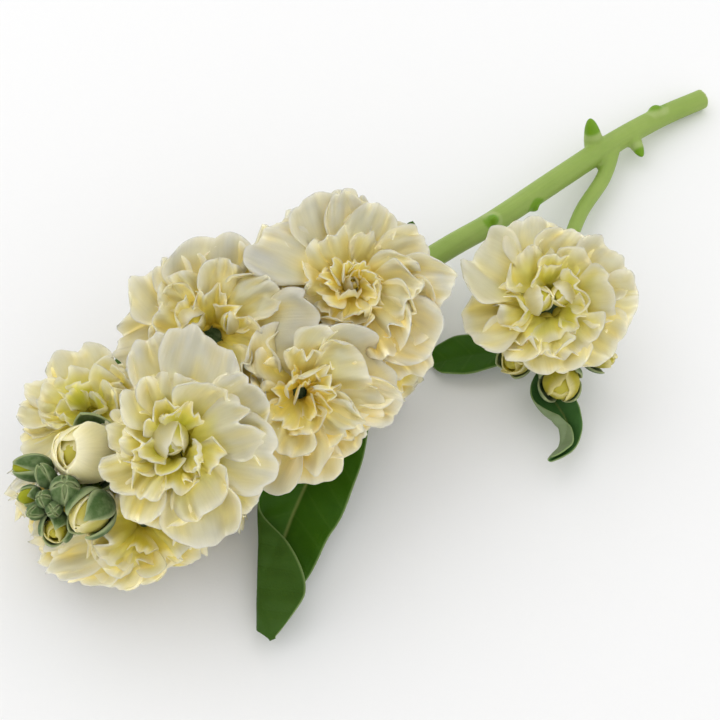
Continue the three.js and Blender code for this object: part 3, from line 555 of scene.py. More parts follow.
def petals_of(bloom):
    """The petals of a bloom, each with its own lengths, angles and ruffles."""
    chosen = bloom["name"] in PETALS
    loose = 0.3 if chosen else 1.0
    petals = []
    for source in [ring_petals(bloom)] + ([chosen_petals(bloom)] if chosen else []):
        for azimuth, length, half, lean, layer, seed in source:
            roll = dice(seed)
            crumple = layer.get("crumple", 1)
            petals.append(dict(
                azimuth=azimuth + loose * roll(-9, 9),
                length=length * (1 + loose * roll(-0.1, 0.08)),
                half=half * (1 + loose * roll(-0.1, 0.12)),
                open=lean + loose * roll(-8, 8),
                curl=layer["curl"] + roll(-26, 20),
                cup=layer["cup"] * roll(0.3, 1.4) * (1 if roll(0, 1) > 0.3 else -1),
                ruffle=layer["ruffle"] * roll(0.7, 1.3),
                crumple=crumple * roll(0.25, 1.2),
                waves=roll(3.6, 5.6),
                phase=roll(0, 2 * math.pi),
                crease=roll(-0.5, 1),
                round=layer["round"] * roll(0.8, 1.2),
                twist=roll(0.8, 2.6),
                turned=roll(-0.5, 1.4),
                notch=roll(0, 0.09),
                lobes=roll(1.6, 3.6),
                fold=crumple * roll(-1.4, 1.6),
                fold_at=roll(-0.6, 0.6),
                tone=roll(0, 1),
                skew=roll(-0.08, 0.08),
                sway=roll(-9, 9),
                root=layer["root"],
                out=layer["out"],
                large=layer["root"] < 1 and "count" not in layer,
            ))
    return petals


def petal_surface(petal, along, across, fine):
    """A petal's middle surface in its bloom's frame: out from the axis, round it, and along it.
    fine is the height in millimetres of the small waves at its margin. Gives the points, the half width
    and how far each point stands on a ridge."""
    waves, phase = petal["waves"], petal["phase"]
    notch = petal["notch"] * smooth(0.7, 1, along) * (1 - abs(np.sin(petal["lobes"] * across + phase))) ** 2
    reach = along * (1 + petal["skew"] * across - petal["round"] * abs(across) ** 3 * along ** 2 - notch)
    steps = 24
    start = 0.45 * petal["open"]
    out = np.full(along.shape, float(petal["out"]))
    rise = np.full(along.shape, float(petal["root"]))
    for i in range(steps):
        share = reach * (i + 0.5) / steps
        opened = start + (petal["open"] - start) * smooth(0, 0.4, share)
        lean = np.radians(opened + petal["curl"] * smooth(0.55, 1, share))
        out = out + np.sin(lean) * petal["length"] * reach / steps
        rise = rise + np.cos(lean) * petal["length"] * reach / steps
    half = CLAW_HALF + (petal["half"] - CLAW_HALF) * smooth(-0.05, 0.75, along)
    half = half * (1 - 0.12 * np.clip((along - 0.7) / 0.3, 0, 1) ** 2)
    bow = petal["cup"] * across
    side = half / petal["cup"] * np.sin(bow)
    frill = smooth(0.1, 1, along) * (0.35 + 0.65 * np.maximum(along ** 4, across ** 2)) * 1.7
    wave = np.sin(waves * across + phase + 1.6 * along)
    wave = wave + 0.5 * np.sin(2.1 * waves * across - phase + 2 * along)
    small = np.sin(2.6 * waves * across + 1.7 * phase + 3 * along)
    small = small + 0.7 * np.sin(3.7 * waves * across - phase)
    ridge = np.zeros_like(along)
    for k, (lengthwise, crosswise) in enumerate(((0.5, 1.0), (1.5, -0.75), (0.9, 1.7))):
        crease = np.sin(waves * (lengthwise * along * 0.8 + crosswise * across * 0.75) + (k + 1.7) * phase)
        ridge = ridge + (1 - abs(crease)) ** 1.3 / 3
    ridge = ridge - 0.33
    margin = np.maximum(smooth(0.84, 1, along), smooth(0.84, 1, abs(across)) * smooth(0.25, 0.5, along))
    pinch = np.exp(-((across - petal["fold_at"]) / 0.15) ** 2) * smooth(0.1, 0.45, along)
    lift = (half / petal["cup"] * (1 - np.cos(bow)) + petal["ruffle"] * frill * wave
            + (petal["crease"] * abs(across) + petal["twist"] * across) * along
            + fine * petal["ruffle"] * smooth(0.45, 1, np.maximum(along, abs(across) * along)) * small
            + 4 * fine * petal["crumple"] * ridge * smooth(0.2, 0.7, along)
            + petal["turned"] * margin ** 2 + petal["fold"] * pinch)
    turn = np.radians(petal["azimuth"] + petal["sway"] * along ** 2)
    radial = out - np.cos(lean) * lift
    points = np.stack([
        radial * np.cos(turn) - side * np.sin(turn),
        radial * np.sin(turn) + side * np.cos(turn),
        rise + np.sin(lean) * lift,
    ], axis=-1)
    relief = np.clip(0.5 + 1.6 * petal["crumple"] * ridge + 0.1 * small + 0.12 * wave, 0, 1)
    return points, half, relief * smooth(0.15, 0.6, along)


def apart(here, thing):
    """The way from a place to the centre of a bloom or bud, and how far that is."""
    way = np.asarray(thing["centre"], float) - here
    gap = np.linalg.norm(way)
    return way / gap, gap


def walls_of(bloom):
    """Planes that a bloom's petals bend away from, towards each neighbour and each large bud."""
    here = np.asarray(bloom["centre"], float)
    walls = []
    for other in BLOOMS:
        if other is not bloom:
            way, gap = apart(here, other)
            walls.append((way, (gap ** 2 + bloom["room"] ** 2 - other["room"] ** 2) / (2 * gap)))
    for bud in BUDS:
        if "petals" in bud and bud["radius"] > LARGE_BUD:
            way, gap = apart(here, bud)
            walls.append((way, gap - bud["radius"] - BUD_ROOM))
    return here, [(normal, reach) for normal, reach in walls if reach < bloom["radius"] * 1.4]


def bend_back(distance, depth, stop):
    """Moves a distance back from a wall, the more the nearer it is, so that it never passes it."""
    bent = -stop - (depth - stop) * np.exp(np.minimum(0, -(distance + depth) / (depth - stop)))
    return np.where(distance < -depth, distance, bent)


def settle(points, here, walls, half):
    """Keeps petals off their neighbours, the buds and the floor."""
    stop = CLEARANCE / 2 + half
    for _ in range(3):
        for normal, reach in walls:
            distance = (points - here) @ normal - reach
            depth = min(CROWDING, reach * 0.8)
            points = points + normal * (bend_back(distance, depth, stop) - distance)[..., None]
    for bud in BUDS:
        centre, rows = frame_of(bud)
        size = np.array([bud["radius"], bud["radius"], bud["length"] / 2]) + BUD_ROOM
        local = (points - centre) @ rows.T
        ratio = np.linalg.norm(local / size, axis=-1)
        pushed = -bend_back(-ratio, 1 + 1.2 / bud["radius"], 1)
        points = centre + (local * (pushed / np.maximum(ratio, 1e-6))[..., None]) @ rows
    points[..., 2] = -bend_back(-points[..., 2], SETTLING, LOWEST)
    return points


def even_grid(rows, columns):
    """Shares along from 0 to 1 and across from -1 to 1."""
    return np.meshgrid(np.linspace(0, 1, rows), np.linspace(-1, 1, columns), indexing="ij")


def add_wraps(shape, bud, thickness, **values):
    """Petals wrapped round each other as in a bud, the outermost first, and a core that closes the gap."""
    roll = dice(bud["seed"])
    radius, length, flat_share = bud["radius"], bud["length"], bud.get("flat", 1)
    pale, spread_tips = bud.get("pale", 0), bud.get("tops", 0) > 0
    along, across = even_grid(*WRAP_GRID)
    wraps = bud["wraps"]
    if not isinstance(wraps, list):
        turn = roll(0, 360)
        wraps = [
            (turn + GOLDEN_TURN * k, WRAP_HALF_ANGLE, bud["tops"] + roll(-6, 6)) for k in range(wraps)
        ]
    for k, (turn, width_angle, end) in enumerate(wraps):
        scale = 1 - WRAP_STEP * k / radius
        phase = roll(0, 6)
        top = end + 22 * across ** 2 + 2.5 * np.sin(3 * across + phase)
        polar = np.radians(180 + (top - 180) * along)
        angle = np.radians(turn + across * (width_angle - 16 * along ** 2) + 4 * np.sin(4 * along + phase))
        flare = spread_tips * 0.12 * smooth(0.75, 1, along) * (1 + 0.7 * np.sin(4 * across + phase))
        edge = 0.04 * smooth(0.8, 1, abs(across)) + 0.045 * smooth(0.86, 1, along)
        width = egg_width(polar, radius) * scale * (1 + edge + flare)
        height = np.cos(polar) * length / 2 * (scale + 0.5 * edge)
        local = np.stack([width * np.cos(angle), width * np.sin(angle) * flat_share, height], axis=-1)
        margin = np.maximum(along, abs(across))
        if "yellow" in values:
            values["yellow"] = bud["yellow"] + 0.1 * k
        add_sheet(
            shape, placed(local, bud), thickness / 2 * (1 - 0.5 * margin ** 4),
            span=along * length * (1.2 - 0.15 * k) + pale * (k == 0), across=across * radius,
            tone=roll(0, 1), rim=smooth(0.76, 0.96, margin), **values,
        )
    if "yellow" in values:
        values["yellow"] += 0.7
    inside = 1 - (WRAP_STEP * len(wraps) + 0.15) / radius
    add_egg(shape, bud, radius * inside * flat_share, length * min(0.95, inside + 0.14), tone=0.5,
            span=length * 0.12 + pale * 0.5, **values)


def petal_grid(rows, columns):
    """Shares along and across a petal, closer together near its tip and its sides."""
    along, across = even_grid(rows, columns)
    return 1 - (1 - along) ** 1.25, np.sin(across * 1.35) / math.sin(1.35)


def bloom_petals(bloom, thickness, fine):
    """Surface points, half thickness and numbers of each petal. span is in millimetres from its root."""
    own = PETALS.get(bloom["name"])
    here, walls = (own["centre"], []) if own else walls_of(bloom)
    for petal in petals_of(bloom):
        along, across = petal_grid(*(CHOSEN_PETAL_GRID if own and petal["large"] else PLAIN_PETAL_GRID))
        local, width, relief = petal_surface(petal, along, across, fine)
        points = settle(placed(local, own or bloom), here, walls, thickness / 2)
        inward = np.minimum((1 - abs(across)) * width, (1 - along) * petal["length"])
        half = thickness / 2 * (0.45 + 0.55 * smooth(0, 1.2, inward))
        yield points, half, dict(
            span=along * petal["length"], across=across * width, tone=petal["tone"], green=bloom["green"],
            rim=smooth(min(2.6, 0.45 * petal["half"]), 0, inward) * smooth(0.2, 0.6, along), relief=relief,
        )


def add_hearts(shape, bloom, thickness):
    """The petals still wrapped round each other in the middle of a bloom."""
    own = PETALS.get(bloom["name"], {})
    for k, heart in enumerate(own.get("hearts", [])):
        tilt, way = math.radians(heart["lean"]), math.radians(heart["toward"])
        lean = np.array([math.cos(way) * math.sin(tilt), math.sin(way) * math.sin(tilt), math.cos(tilt)])
        centre = placed(np.array([heart["x"], heart["y"], heart.get("rise", 1) + heart["length"] / 2]), own)
        faces = lean @ frame_of(own)[1]
        bud = dict(heart, centre=centre, faces=faces, seed=bloom["seed"] + 400 + k, pale=5)
        # The hearts get a fixed shelter, which sets their painted warm colour and brightening.
        add_wraps(shape, bud, thickness, green=bloom["green"], relief=0.5, shelter=0.55)


def sky_rays(count):
    """Directions spread evenly over the upper half of a sphere."""
    height = (np.arange(count) + 0.5) / count
    turn = np.arange(count) * math.pi * (3 - math.sqrt(5))
    flat_part = np.sqrt(1 - height ** 2)
    return np.stack([flat_part * np.cos(turn), flat_part * np.sin(turn), height], axis=-1)


def shelter_of(surfaces, samples=8, rays=14, reach=26.0):
    """How much of the sky other petals hide from each point of each surface, from 0 to 1. The petal colour
    paints light and shade from it.
    """
    corners, faces, count = [], [], 0
    for points in surfaces:
        coarse = points[::3, ::3]
        faces += (grid_faces(*coarse.shape[:2]) + count).tolist()
        corners += coarse.reshape(-1, 3).tolist()
        count += coarse.shape[0] * coarse.shape[1]
    tree = BVHTree.FromPolygons(corners, faces)
    directions = [Vector(way) for way in sky_rays(rays)]
    for points in surfaces:
        rows, columns = points.shape[:2]
        picked = [np.linspace(0, n - 1, samples).round().astype(int) for n in (rows, columns)]
        hits = [
            sum(tree.ray_cast(Vector(point) + way * 1.2, way, reach)[0] is not None for way in directions)
            for point in points[np.ix_(*picked)].reshape(-1, 3).tolist()
        ]
        hidden = np.array(hits, float).reshape(samples, samples) / rays
        hidden = 0.6 * hidden + 0.4 * hidden.mean()
        spread = [
            np.array([np.interp(np.arange(n), picks, line) for line in np.eye(samples)])
            for n, picks in zip((rows, columns), picked)
        ]
        yield spread[0].T @ hidden @ spread[1]


def bloom_shapes(blooms, thickness, fine):
    """One shape of closed petal blades for each bloom, each petal knowing how sheltered it lies."""
    petals = [
        (k, *petal) for k, bloom in enumerate(blooms) for petal in bloom_petals(bloom, thickness, fine)
    ]
    shapes = [Shape() for _ in blooms]
    for (k, points, half, values), shelter in zip(petals, shelter_of([petal[1] for petal in petals])):
        add_sheet(shapes[k], points, half, shelter=shelter, **values)
    for shape, bloom in zip(shapes, blooms):
        add_hearts(shape, bloom, thickness)
    return shapes


# Buds, calyces and the stem

def add_sepals(shape, thing, profile, half_angle, thickness, turn, seed):
    """Four sepals round an axis. profile gives the radius and height of their midline from foot to tip."""
    roll = dice(seed)
    along, across = even_grid(*SEPAL_GRID)
    for k in range(4):
        radius, height = profile(along)
        taper = np.sqrt(np.maximum(0.0004, 1 - smooth(0.35, 1, along) ** 1.6))
        angle = np.radians(turn + 90 * k + roll(-4, 4) + across * half_angle * taper)
        radius = radius * (1 + 0.05 * (1 - across ** 2)) + 0.12 * (k % 2)
        local = np.stack([radius * np.cos(angle), radius * np.sin(angle), height], axis=-1)
        margin = np.maximum(abs(across), along ** 3)
        add_sheet(
            shape, placed(local, thing), thickness / 2 * (1 - 0.5 * margin ** 4), span=along,
            rim=smooth(0.62, 0.98, margin) * smooth(0.1, 0.5, along), tone=roll(0, 1),
            across=across * half_angle / 50,
        )


def egg_profile(radius, length, top, gap):
    """Midline of a sepal that hugs an egg up to a polar angle top, in degrees."""
    def profile(along):
        polar = np.radians(180 + (top - 180) * along)
        width = egg_width(polar, radius) + gap
        return np.maximum(width, 0.25), np.cos(polar) * (length / 2 + gap)
    return profile


def calyx_profile(along):
    """Midline of a sepal of an open bloom: a slim cup with its tips a little spread."""
    height = -CALYX_LENGTH + along * (CALYX_LENGTH + CALYX_LIP + 1.4)
    radius = CALYX_RADIUS * (0.55 + 0.45 * smooth(0, 0.35, along)) * (1 - 0.12 * smooth(0.5, 0.85, along))
    return radius + 0.5 * smooth(0.85, 1, along), height


def sepal_shape(thickness):
    """Calyces of the blooms, sepal cups of the opening buds, and the closed buds."""
    shape = Shape()
    for bloom in BLOOMS:
        add_sepals(
            shape, bloom, calyx_profile, CALYX_HALF_ANGLE, thickness, bloom["turn"], bloom["seed"] + 200)
        if bloom["name"] in PETALS:
            own = PETALS[bloom["name"]]
            seat = dict(own, centre=placed(np.array([0, 0, -1.4]), own))
            add_egg(shape, seat, own["foot"] + 0.8, 2.4)
    for bud in BUDS:
        if "petals" in bud:
            top = math.degrees(math.acos(min(0.99, 2 * bud["lip"] + 0.3)))
            profile = egg_profile(bud["radius"], bud["length"], top, CLEARANCE + thickness / 2)
            half_angle = OPEN_BUD_HALF_ANGLE
        else:
            add_egg(shape, bud, bud["radius"] * 0.9, bud["length"] * 0.94, span=0.9, tone=0.3,
                    rim=0.5, petal=float("peep" in bud))
            profile = egg_profile(bud["radius"] * 0.94, bud["length"], bud.get("peep", 3), 0.05)
            half_angle = CLOSED_BUD_HALF_ANGLE
        add_sepals(shape, bud, profile, half_angle, thickness, bud["seed"] * 31, bud["seed"] + 300)
    return shape


def stalk_of(bloom):
    """The stalk of a bloom leaves the stem square to it and ends in line with the bloom."""
    centre, rows = frame_of(bloom)
    line = STEM if bloom["on"] == "stem" else SHOOT
    start = line.at(bloom["at"] / line.length)
    end = centre + rows[2] * (0.2 - CALYX_LENGTH)
    return Line.bent(start, end - rows[2] * 0.5 * np.linalg.norm(end - start), end)


def bud_stalk_of(bud):
    centre, rows = frame_of(bud)
    start = np.asarray(bud["foot"], float)
    end = centre + rows[2] * (-0.5 * bud["length"] - 0.4 if "petals" in bud else -0.4 * bud["length"])
    return Line.bent(start, (start + end) / 2 - rows[2] * 0.25 * np.linalg.norm(end - start), end)


def stem_radius(share, angle):
    """Radius of the main stem with its faint ribs."""
    plain = STEM_RADIUS * (1 - 0.08 * smooth(0.2, 0, share))
    plain = plain + (STEM_TIP_RADIUS - STEM_RADIUS) * smooth(0.45, 1, share)
    return plain * (1 + 0.018 * np.sin(7 * angle + 9 * share) + 0.012 * np.sin(4 * angle - 14 * share))


def stalk_radius(share, angle):
    """Radius of a bloom's stalk, wider at both ends."""
    return STALK_RADIUS * (1 + 0.5 * smooth(0.85, 1, share) + 0.5 * smooth(0.12, 0, share))


def cone_line(place, way, length):
    place, way = np.asarray(place, float), unit(way)
    return Line(np.linspace(place - way * length / 2, place + way * length / 2, 12))


def stem_shape():
    """Main stem, side shoot, stubs and stalks as overlapping bars, which the remesh then joins."""
    shape = Shape()
    add_bar(shape, STEM, stem_radius, sides=36, steps=220)
    add_bar(shape, SHOOT, lambda share, angle: SHOOT_RADIUS * (1.15 - 0.3 * share), sides=24, steps=80)
    for place, way, length, radius in STUBS:
        taper = lambda share, angle: radius * np.sqrt(np.maximum(0.01, 1 - share ** 1.7))
        add_bar(shape, cone_line(place, way, length), taper, sides=20, steps=16)
    for bloom in BLOOMS:
        add_bar(shape, stalk_of(bloom), stalk_radius, sides=14, steps=24)
    for bud in BUDS:
        add_bar(shape, bud_stalk_of(bud), lambda share, angle: BUD_STALK_RADIUS, sides=12, steps=10)
    return shape


# Leaves

def leaf_surface(leaf):
    """A leaf's middle surface: along from base to tip, across from its left margin to its right."""
    line = Line.through(leaf["midrib"])
    widths = np.asarray(leaf["widths"], float)
    halves = (widths, leaf.get("left_widths", widths))
    right_half, left_half = (np.array([half[0], *half, half[-1]], float) for half in halves)
    roll = dice(leaf["seed"])
    left_phase, right_phase = roll(0, 6), roll(0, 6)

    def surface(along, across):
        spots = along * (len(widths) - 1)
        half = np.where(across > 0, catmull_rom(right_half, spots), catmull_rom(left_half, spots))
        half = half * np.sqrt(np.maximum(0.02, 1 - smooth(0.9, 1, along) ** 2))
        run, over, height = along * line.length, across * half, np.zeros_like(along)
        width = over.copy()
        vein = np.sin((run - 0.75 * abs(over)) * 1.05)
        height = height + 0.16 * vein * smooth(0, 3, abs(over)) * smooth(1, 0.8, abs(across))
        height = height - 0.35 * np.exp(-(over / 0.9) ** 2)
        if "fold" in leaf:
            (x0, y0), (x1, y1), bend = leaf["fold"]["start"], leaf["fold"]["end"], leaf["fold"]["bend"]
            reach = math.hypot(x1 - x0, y1 - y0)
            away = ((y1 - y0) / reach, (x0 - x1) / reach)
            past = np.maximum(0, (run - x0) * away[0] + (over - y0) * away[1])
            arc = np.minimum(past, bend * LEAF_TURN)
            turned = arc / bend
            shift = bend * np.sin(turned) + (past - arc) * np.cos(turned) - past
            height = height * np.cos(turned) + bend * (1 - np.cos(turned)) + (past - arc) * np.sin(turned)
            run, over = run + shift * away[0], over + shift * away[1]
        share = np.clip(run / line.length, 0, 1)
        heading = line.heading(share)
        side = np.asarray(leaf["side"], float)
        side = unit(side - heading * (heading @ side)[..., None])
        up = np.cross(heading, side)
        right = over > 0
        lift = np.radians(np.where(right, leaf["lifts"][1], leaf["lifts"][0]))
        wave = np.sin(run * 0.42 + np.where(right, right_phase, left_phase))
        wave = leaf["waves"] * (abs(over) / widths.max()) ** 1.5 * wave
        points = line.at(share) + heading * (run - share * line.length)[..., None]
        points = points + side * (over * np.cos(lift))[..., None]
        height = abs(over) * np.sin(lift) + height + wave
        return points + up * height[..., None], width, along * line.length

    return surface


def leaf_shape(leaf, thickness):
    shape = Shape()
    along, across = even_grid(*(FOLDED_LEAF_GRID if "fold" in leaf else PLAIN_LEAF_GRID))
    along = 1 - (1 - along) ** 1.3
    points, width, run = leaf_surface(leaf)(along, across)
    points[..., 2] = np.maximum(points[..., 2], thickness / 2 + 0.45)
    margin = np.maximum(abs(across), along)
    half = thickness / 2 * (1 - 0.6 * margin ** 8) + 0.35 * np.exp(-(width / 0.8) ** 2) * (1 - along)
    plain = np.maximum(smooth(0.7, 0.8, along), leaf.get("plain", 0))
    values = dict(over=width, run=run, rim=smooth(0.955, 1, abs(across)), plain=plain)
    values = {name: value[:, ::-1] for name, value in values.items()}
    add_sheet(shape, points[:, ::-1], half[:, ::-1], frost=leaf.get("frost", 0), **values)
    return shape


# Materials

def linear(code):
    """An sRGB hex colour as linear red, green, blue and alpha."""
    parts = [int(code[k:k + 2], 16) / 255 for k in (1, 3, 5)]
    return (*(c / 12.92 if c <= 0.04045 else ((c + 0.055) / 1.055) ** 2.4 for c in parts), 1.0)


# Kinds of node, where it matters: the setting that a word after the kind gives, the inputs in turn, and the
# output that is used
KINDS = {
    "Attribute": ("attribute_name", (), 2),
    "BsdfPrincipled": ("subsurface_method", (), 0),
    "Math": ("operation", (0, 1, 2), 0),
    "Mix": ("data_type", (0, 6, 7), 2),
    "TexCoord": ("", (), 3),
}


def add_node(material, kind, *inputs, stops=(), **named):
    """Adds a node with its setting, its colour stops and its inputs: values, hex colours or other nodes'
    outputs. Gives its own output."""
    kind, _, setting = kind.partition(" ")
    key, sockets, output = KINDS.get(kind, ("", range(9), 0))
    tree = material.node_tree
    node = tree.nodes.new("ShaderNode" + kind)
    if setting:
        setattr(node, key, setting)
    for name, value in [*zip(sockets, inputs), *named.items()]:
        if isinstance(value, bpy.types.NodeSocket):
            tree.links.new(value, node.inputs[name])
        else:
            node.inputs[name].default_value = linear(value) if isinstance(value, str) else value
    for k, (position, colour) in enumerate(stops):
        element = node.color_ramp.elements[k] if k < 2 else node.color_ramp.elements.new(position)
        element.position = position
        element.color = linear(colour) if isinstance(colour, str) else colour
    return node.outputs[output] if node.outputs else None


def new_material(name):
    """An empty material and the function that adds nodes to it."""
    material = bpy.data.materials.new(name)
    material.use_nodes = True
    material.node_tree.nodes.clear()
    return material, partial(add_node, material)


def streaks(add, across_per_mm, along_per_mm):
    """Noise drawn out along the petal or leaf, from its own millimetres across and along."""
    across = add("Math MULTIPLY", add("Attribute across"), across_per_mm)
    along = add("Math MULTIPLY", add("Attribute span"), along_per_mm)
    depth = add("Math MULTIPLY", add("Attribute tone"), 40.0)
    place = add("CombineXYZ", across, along, depth)
    return add("TexNoise", Vector=place, Scale=1.0, Detail=3.0, Roughness=0.6)


def grain(add, size_mm, detail=2.0):
    """Even noise with features of a real size."""
    scale = 1 / (size_mm * MILLIMETRE)
    return add("TexNoise", Vector=add("TexCoord"), Scale=scale, Detail=detail, Roughness=0.55)


def finish_surface(add, colour, height, bump_mm, surface):
    """Joins colour and bump to a Principled shader with fixed values, and to the output."""
    bump = add("Bump", Height=height, Distance=bump_mm * MILLIMETRE, Strength=1.0)
    shader = add("BsdfPrincipled BURLEY", **{"Base Color": colour, "Normal": bump, **surface})
    add("OutputMaterial", Surface=shader)


PETAL_REACH = 22.0  # millimetres over which a petal's colour runs from heart to margin


def petal_tissue(settings):
    """Living petal: a skin of tiny domed cells over a thin, bright, water-filled layer.
    It gives the eye a velvety cream that glows where light comes through, green at the claw and pale at the
    rim.
    Part of that light is painted into the colour: sheltered places are painted warmer and brighter and open
    ones darker, creases a deeper painted yellow, and the pale rim is partly a painted highlight."""
    material, add = new_material("cream_petal_tissue")
    share = add("Math MULTIPLY", add("Attribute span"), 1 / PETAL_REACH)
    share = add("Math ADD", share, add("Math MULTIPLY_ADD", grain(add, 7.0), 0.16, -0.08))
    outer, inner = (*settings.outer, 1), (*settings.inner, 1)
    warm = add("ValToRGB", share, stops=[
        (0.0, "#C4A41E"), (0.12, "#D6C046"), (0.28, "#D2C67C"), (0.5, inner), (0.85, outer),
    ])
    cool = add("ValToRGB", share, stops=[
        (0.0, "#5E7C10"), (0.12, "#A0AA20"), (0.25, "#CCC864"), (0.45, inner), (0.85, outer),
    ])
    colour = add("Mix RGBA", add("Attribute green"), warm, cool)
    # Painted shade: creases between the ridges are mixed towards a deeper yellow, for light bounced inside
    # the petal's folds.
    painted_crease_shade = add("Clamp", add("Math MULTIPLY_ADD", add("Attribute relief"), -0.7, 0.42))
    colour = add("Mix RGBA", painted_crease_shade, colour, "#D4C264")
    # Painted light: where other petals hide more of the sky, the colour is mixed towards a warm yellow that
    # stands for light coming through the petals.
    shelter = add("Attribute shelter")
    painted_glow = add("Mix RGBA", add("Attribute green"), "#D8BC58", "#CEC048")
    colour = add("Mix RGBA", add("MapRange", shelter, 0.4, 0.95, 0.0, 0.85), colour, painted_glow)
    # Pale rim: partly the petal's own paler margin, partly a painted highlight along its edge, which the
    # shade term below brightens a little more.
    rim = add("Math MULTIPLY", add("Attribute rim"), 0.72)
    colour = add("Mix RGBA", rim, colour, (*settings.rim, 1))
    lines = streaks(add, 2.2, 0.16)
    shade = add("Math MULTIPLY_ADD", rim, 0.03, add("Math MULTIPLY_ADD", lines, 0.14, 0.93))
    tone = add("Math MULTIPLY_ADD", add("Attribute tone"), 0.08, 0.96)
    # Painted light: places open to the sky are darkened and sheltered ones brightened, against the shade
    # that falls between the petals.
    lift = add("MapRange", shelter, 0.0, 0.85, 0.71, 1.13)
    value = add("Math MULTIPLY", add("Math MULTIPLY", shade, tone), lift)
    colour = add("HueSaturation", Color=colour, Value=value)
    height = add("Math MULTIPLY_ADD", grain(add, 0.35), 0.4, lines)
    finish_surface(add, colour, height, 0.06, {
        "Roughness": 0.75, "IOR": 1.42, "Specular IOR Level": 0.12, "Subsurface Weight": 1.0,
        "Subsurface Radius": (1.0, 0.9, 0.55), "Subsurface Scale": 0.0022,
    })
    return material


def bud_petal_tissue():
    """Petals still wrapped in the bud: smooth, firm and a little waxy, from cream to sulphur yellow."""
    material, add = new_material("wrapped_bud_petals")
    colour = add("Mix RGBA", add("Clamp", add("Attribute yellow")), "#DFD6A4", "#B0A428")
    foot = add("Math SUBTRACT", 1.0, add("Math MULTIPLY", add("Attribute span"), 0.1))
    colour = add("Mix RGBA", add("Clamp", foot), colour, "#B4AC48")
    pale = add("Math MULTIPLY_ADD", add("Attribute yellow"), -0.42, 0.82)
    colour = add("Mix RGBA", add("Math MULTIPLY", add("Attribute rim"), pale), colour, "#DEDAC2")
    lines = streaks(add, 2.6, 0.25)
    shade = add("Math MULTIPLY_ADD", lines, 0.2, 0.9)
    colour = add("HueSaturation", Color=colour, Value=shade)
    finish_surface(add, colour, lines, 0.08, {
        "Roughness": 0.6, "IOR": 1.42, "Specular IOR Level": 0.25, "Subsurface Weight": 0.8,
        "Subsurface Radius": (1.0, 0.9, 0.45), "Subsurface Scale": 0.002,
    })
    return material


def felted_sepals(settings):
    """Sepals felted with tiny star-shaped hairs: a grey bloom over blue-green, with pale margins."""
    material, add = new_material("felted_green_sepals")
    fine = grain(add, 0.35, 3.0)
    frost = add("Math MULTIPLY", add("MapRange", grain(add, 1.6), 0.35, 0.65), 0.5)
    frost = add("Math MULTIPLY_ADD", fine, 0.15, frost)
    colour = add("Mix RGBA", frost, (*settings.sepal, 1), "#7E8E64")
    colour = add("Mix RGBA", add("Math MULTIPLY", add("Attribute span"), 0.35), colour, "#5F7C3C")
    rim = add("Math MULTIPLY", add("Attribute rim"), 0.75)
    colour = add("Mix RGBA", rim, colour, (*settings.sepal_margin, 1))
    colour = add("Mix RGBA", add("Attribute petal"), colour, "#969A18")
    finish_surface(add, colour, fine, 0.12, {
        "Roughness": 0.72, "IOR": 1.45, "Specular IOR Level": 0.3, "Subsurface Weight": 0.1,
        "Subsurface Radius": (0.6, 1.0, 0.3), "Subsurface Scale": 0.0008, "Sheen Weight": 0.1,
        "Sheen Roughness": 0.4,
    })
    return material


def stem_skin(settings):
    """Fresh stem: a smooth waxy skin, light green with faint long fibres, darker at the stubs and pale
    where cut."""
    material, add = new_material("waxy_green_stem_skin")
    fibres = streaks(add, 1.6, 0.05)
    colour = add("Mix RGBA", grain(add, 9.0), (*settings.stem, 1), "#9DB25A")
    colour = add("Mix RGBA", add("Math MULTIPLY", fibres, 0.35), colour, "#6F8F38")
    for mark, code in (("stub", "#6A9408"), ("scar", "#B9C68A"), ("cut", "#C7D09A")):
        colour = add("Mix RGBA", add("Attribute " + mark), colour, code)
    finish_surface(add, colour, fibres, 0.1, {
        "Roughness": 0.5, "IOR": 1.45, "Specular IOR Level": 0.4, "Subsurface Weight": 0.25,
        "Subsurface Radius": (0.6, 1.0, 0.25), "Subsurface Scale": 0.0015,
    })
    return material


def leaf_blade(settings):
    """Leaf: a dark green leathery blade with a soft shine, a pale raised midrib and faint side veins.
    Its underside is paler and duller."""
    material, add = new_material("leathery_leaf_blade")
    run, over = add("Attribute run"), add("Math ABSOLUTE", add("Attribute over"))
    slant = add("Math MULTIPLY_ADD", over, -0.75, run)
    wave = add("Math SINE", add("Math MULTIPLY", slant, 1.05))
    vein = add("MapRange", wave, 0.9, 1.0, 0.0, 0.22)
    midrib = add("MapRange", over, 0.75, 0.25, 0.0, 0.55)
    patches, frost = grain(add, 5.0), add("Attribute frost")
    top = add("Mix RGBA", patches, (*settings.blade, 1), "#386008")
    top = add("Mix RGBA", vein, top, "#48691F")
    top = add("Mix RGBA", add("Math MULTIPLY", frost, 0.7), top, "#3C6234")
    below = add("Mix RGBA", patches, (*settings.underside, 1), "#3F6020")
    below = add("Mix RGBA", frost, below, "#7D8E68")
    colour = add("Mix RGBA", add("Attribute face"), below, top)
    shown = add("Math MULTIPLY", midrib, add("Math SUBTRACT", 1.0, add("Attribute plain")))
    colour = add("Mix RGBA", shown, colour, (*settings.midrib, 1))
    colour = add("Mix RGBA", add("Math MULTIPLY", add("Attribute rim"), 0.6), colour, "#8FA468")
    height = add("Math MULTIPLY_ADD", vein, -1.5, grain(add, 0.5, 3.0))
    finish_surface(add, colour, height, 0.1, {
        "Roughness": 0.5, "IOR": 1.45, "Specular IOR Level": 0.16, "Subsurface Weight": 0.06,
        "Subsurface Radius": (0.4, 1.0, 0.2), "Subsurface Scale": 0.0008,
    })
    return material


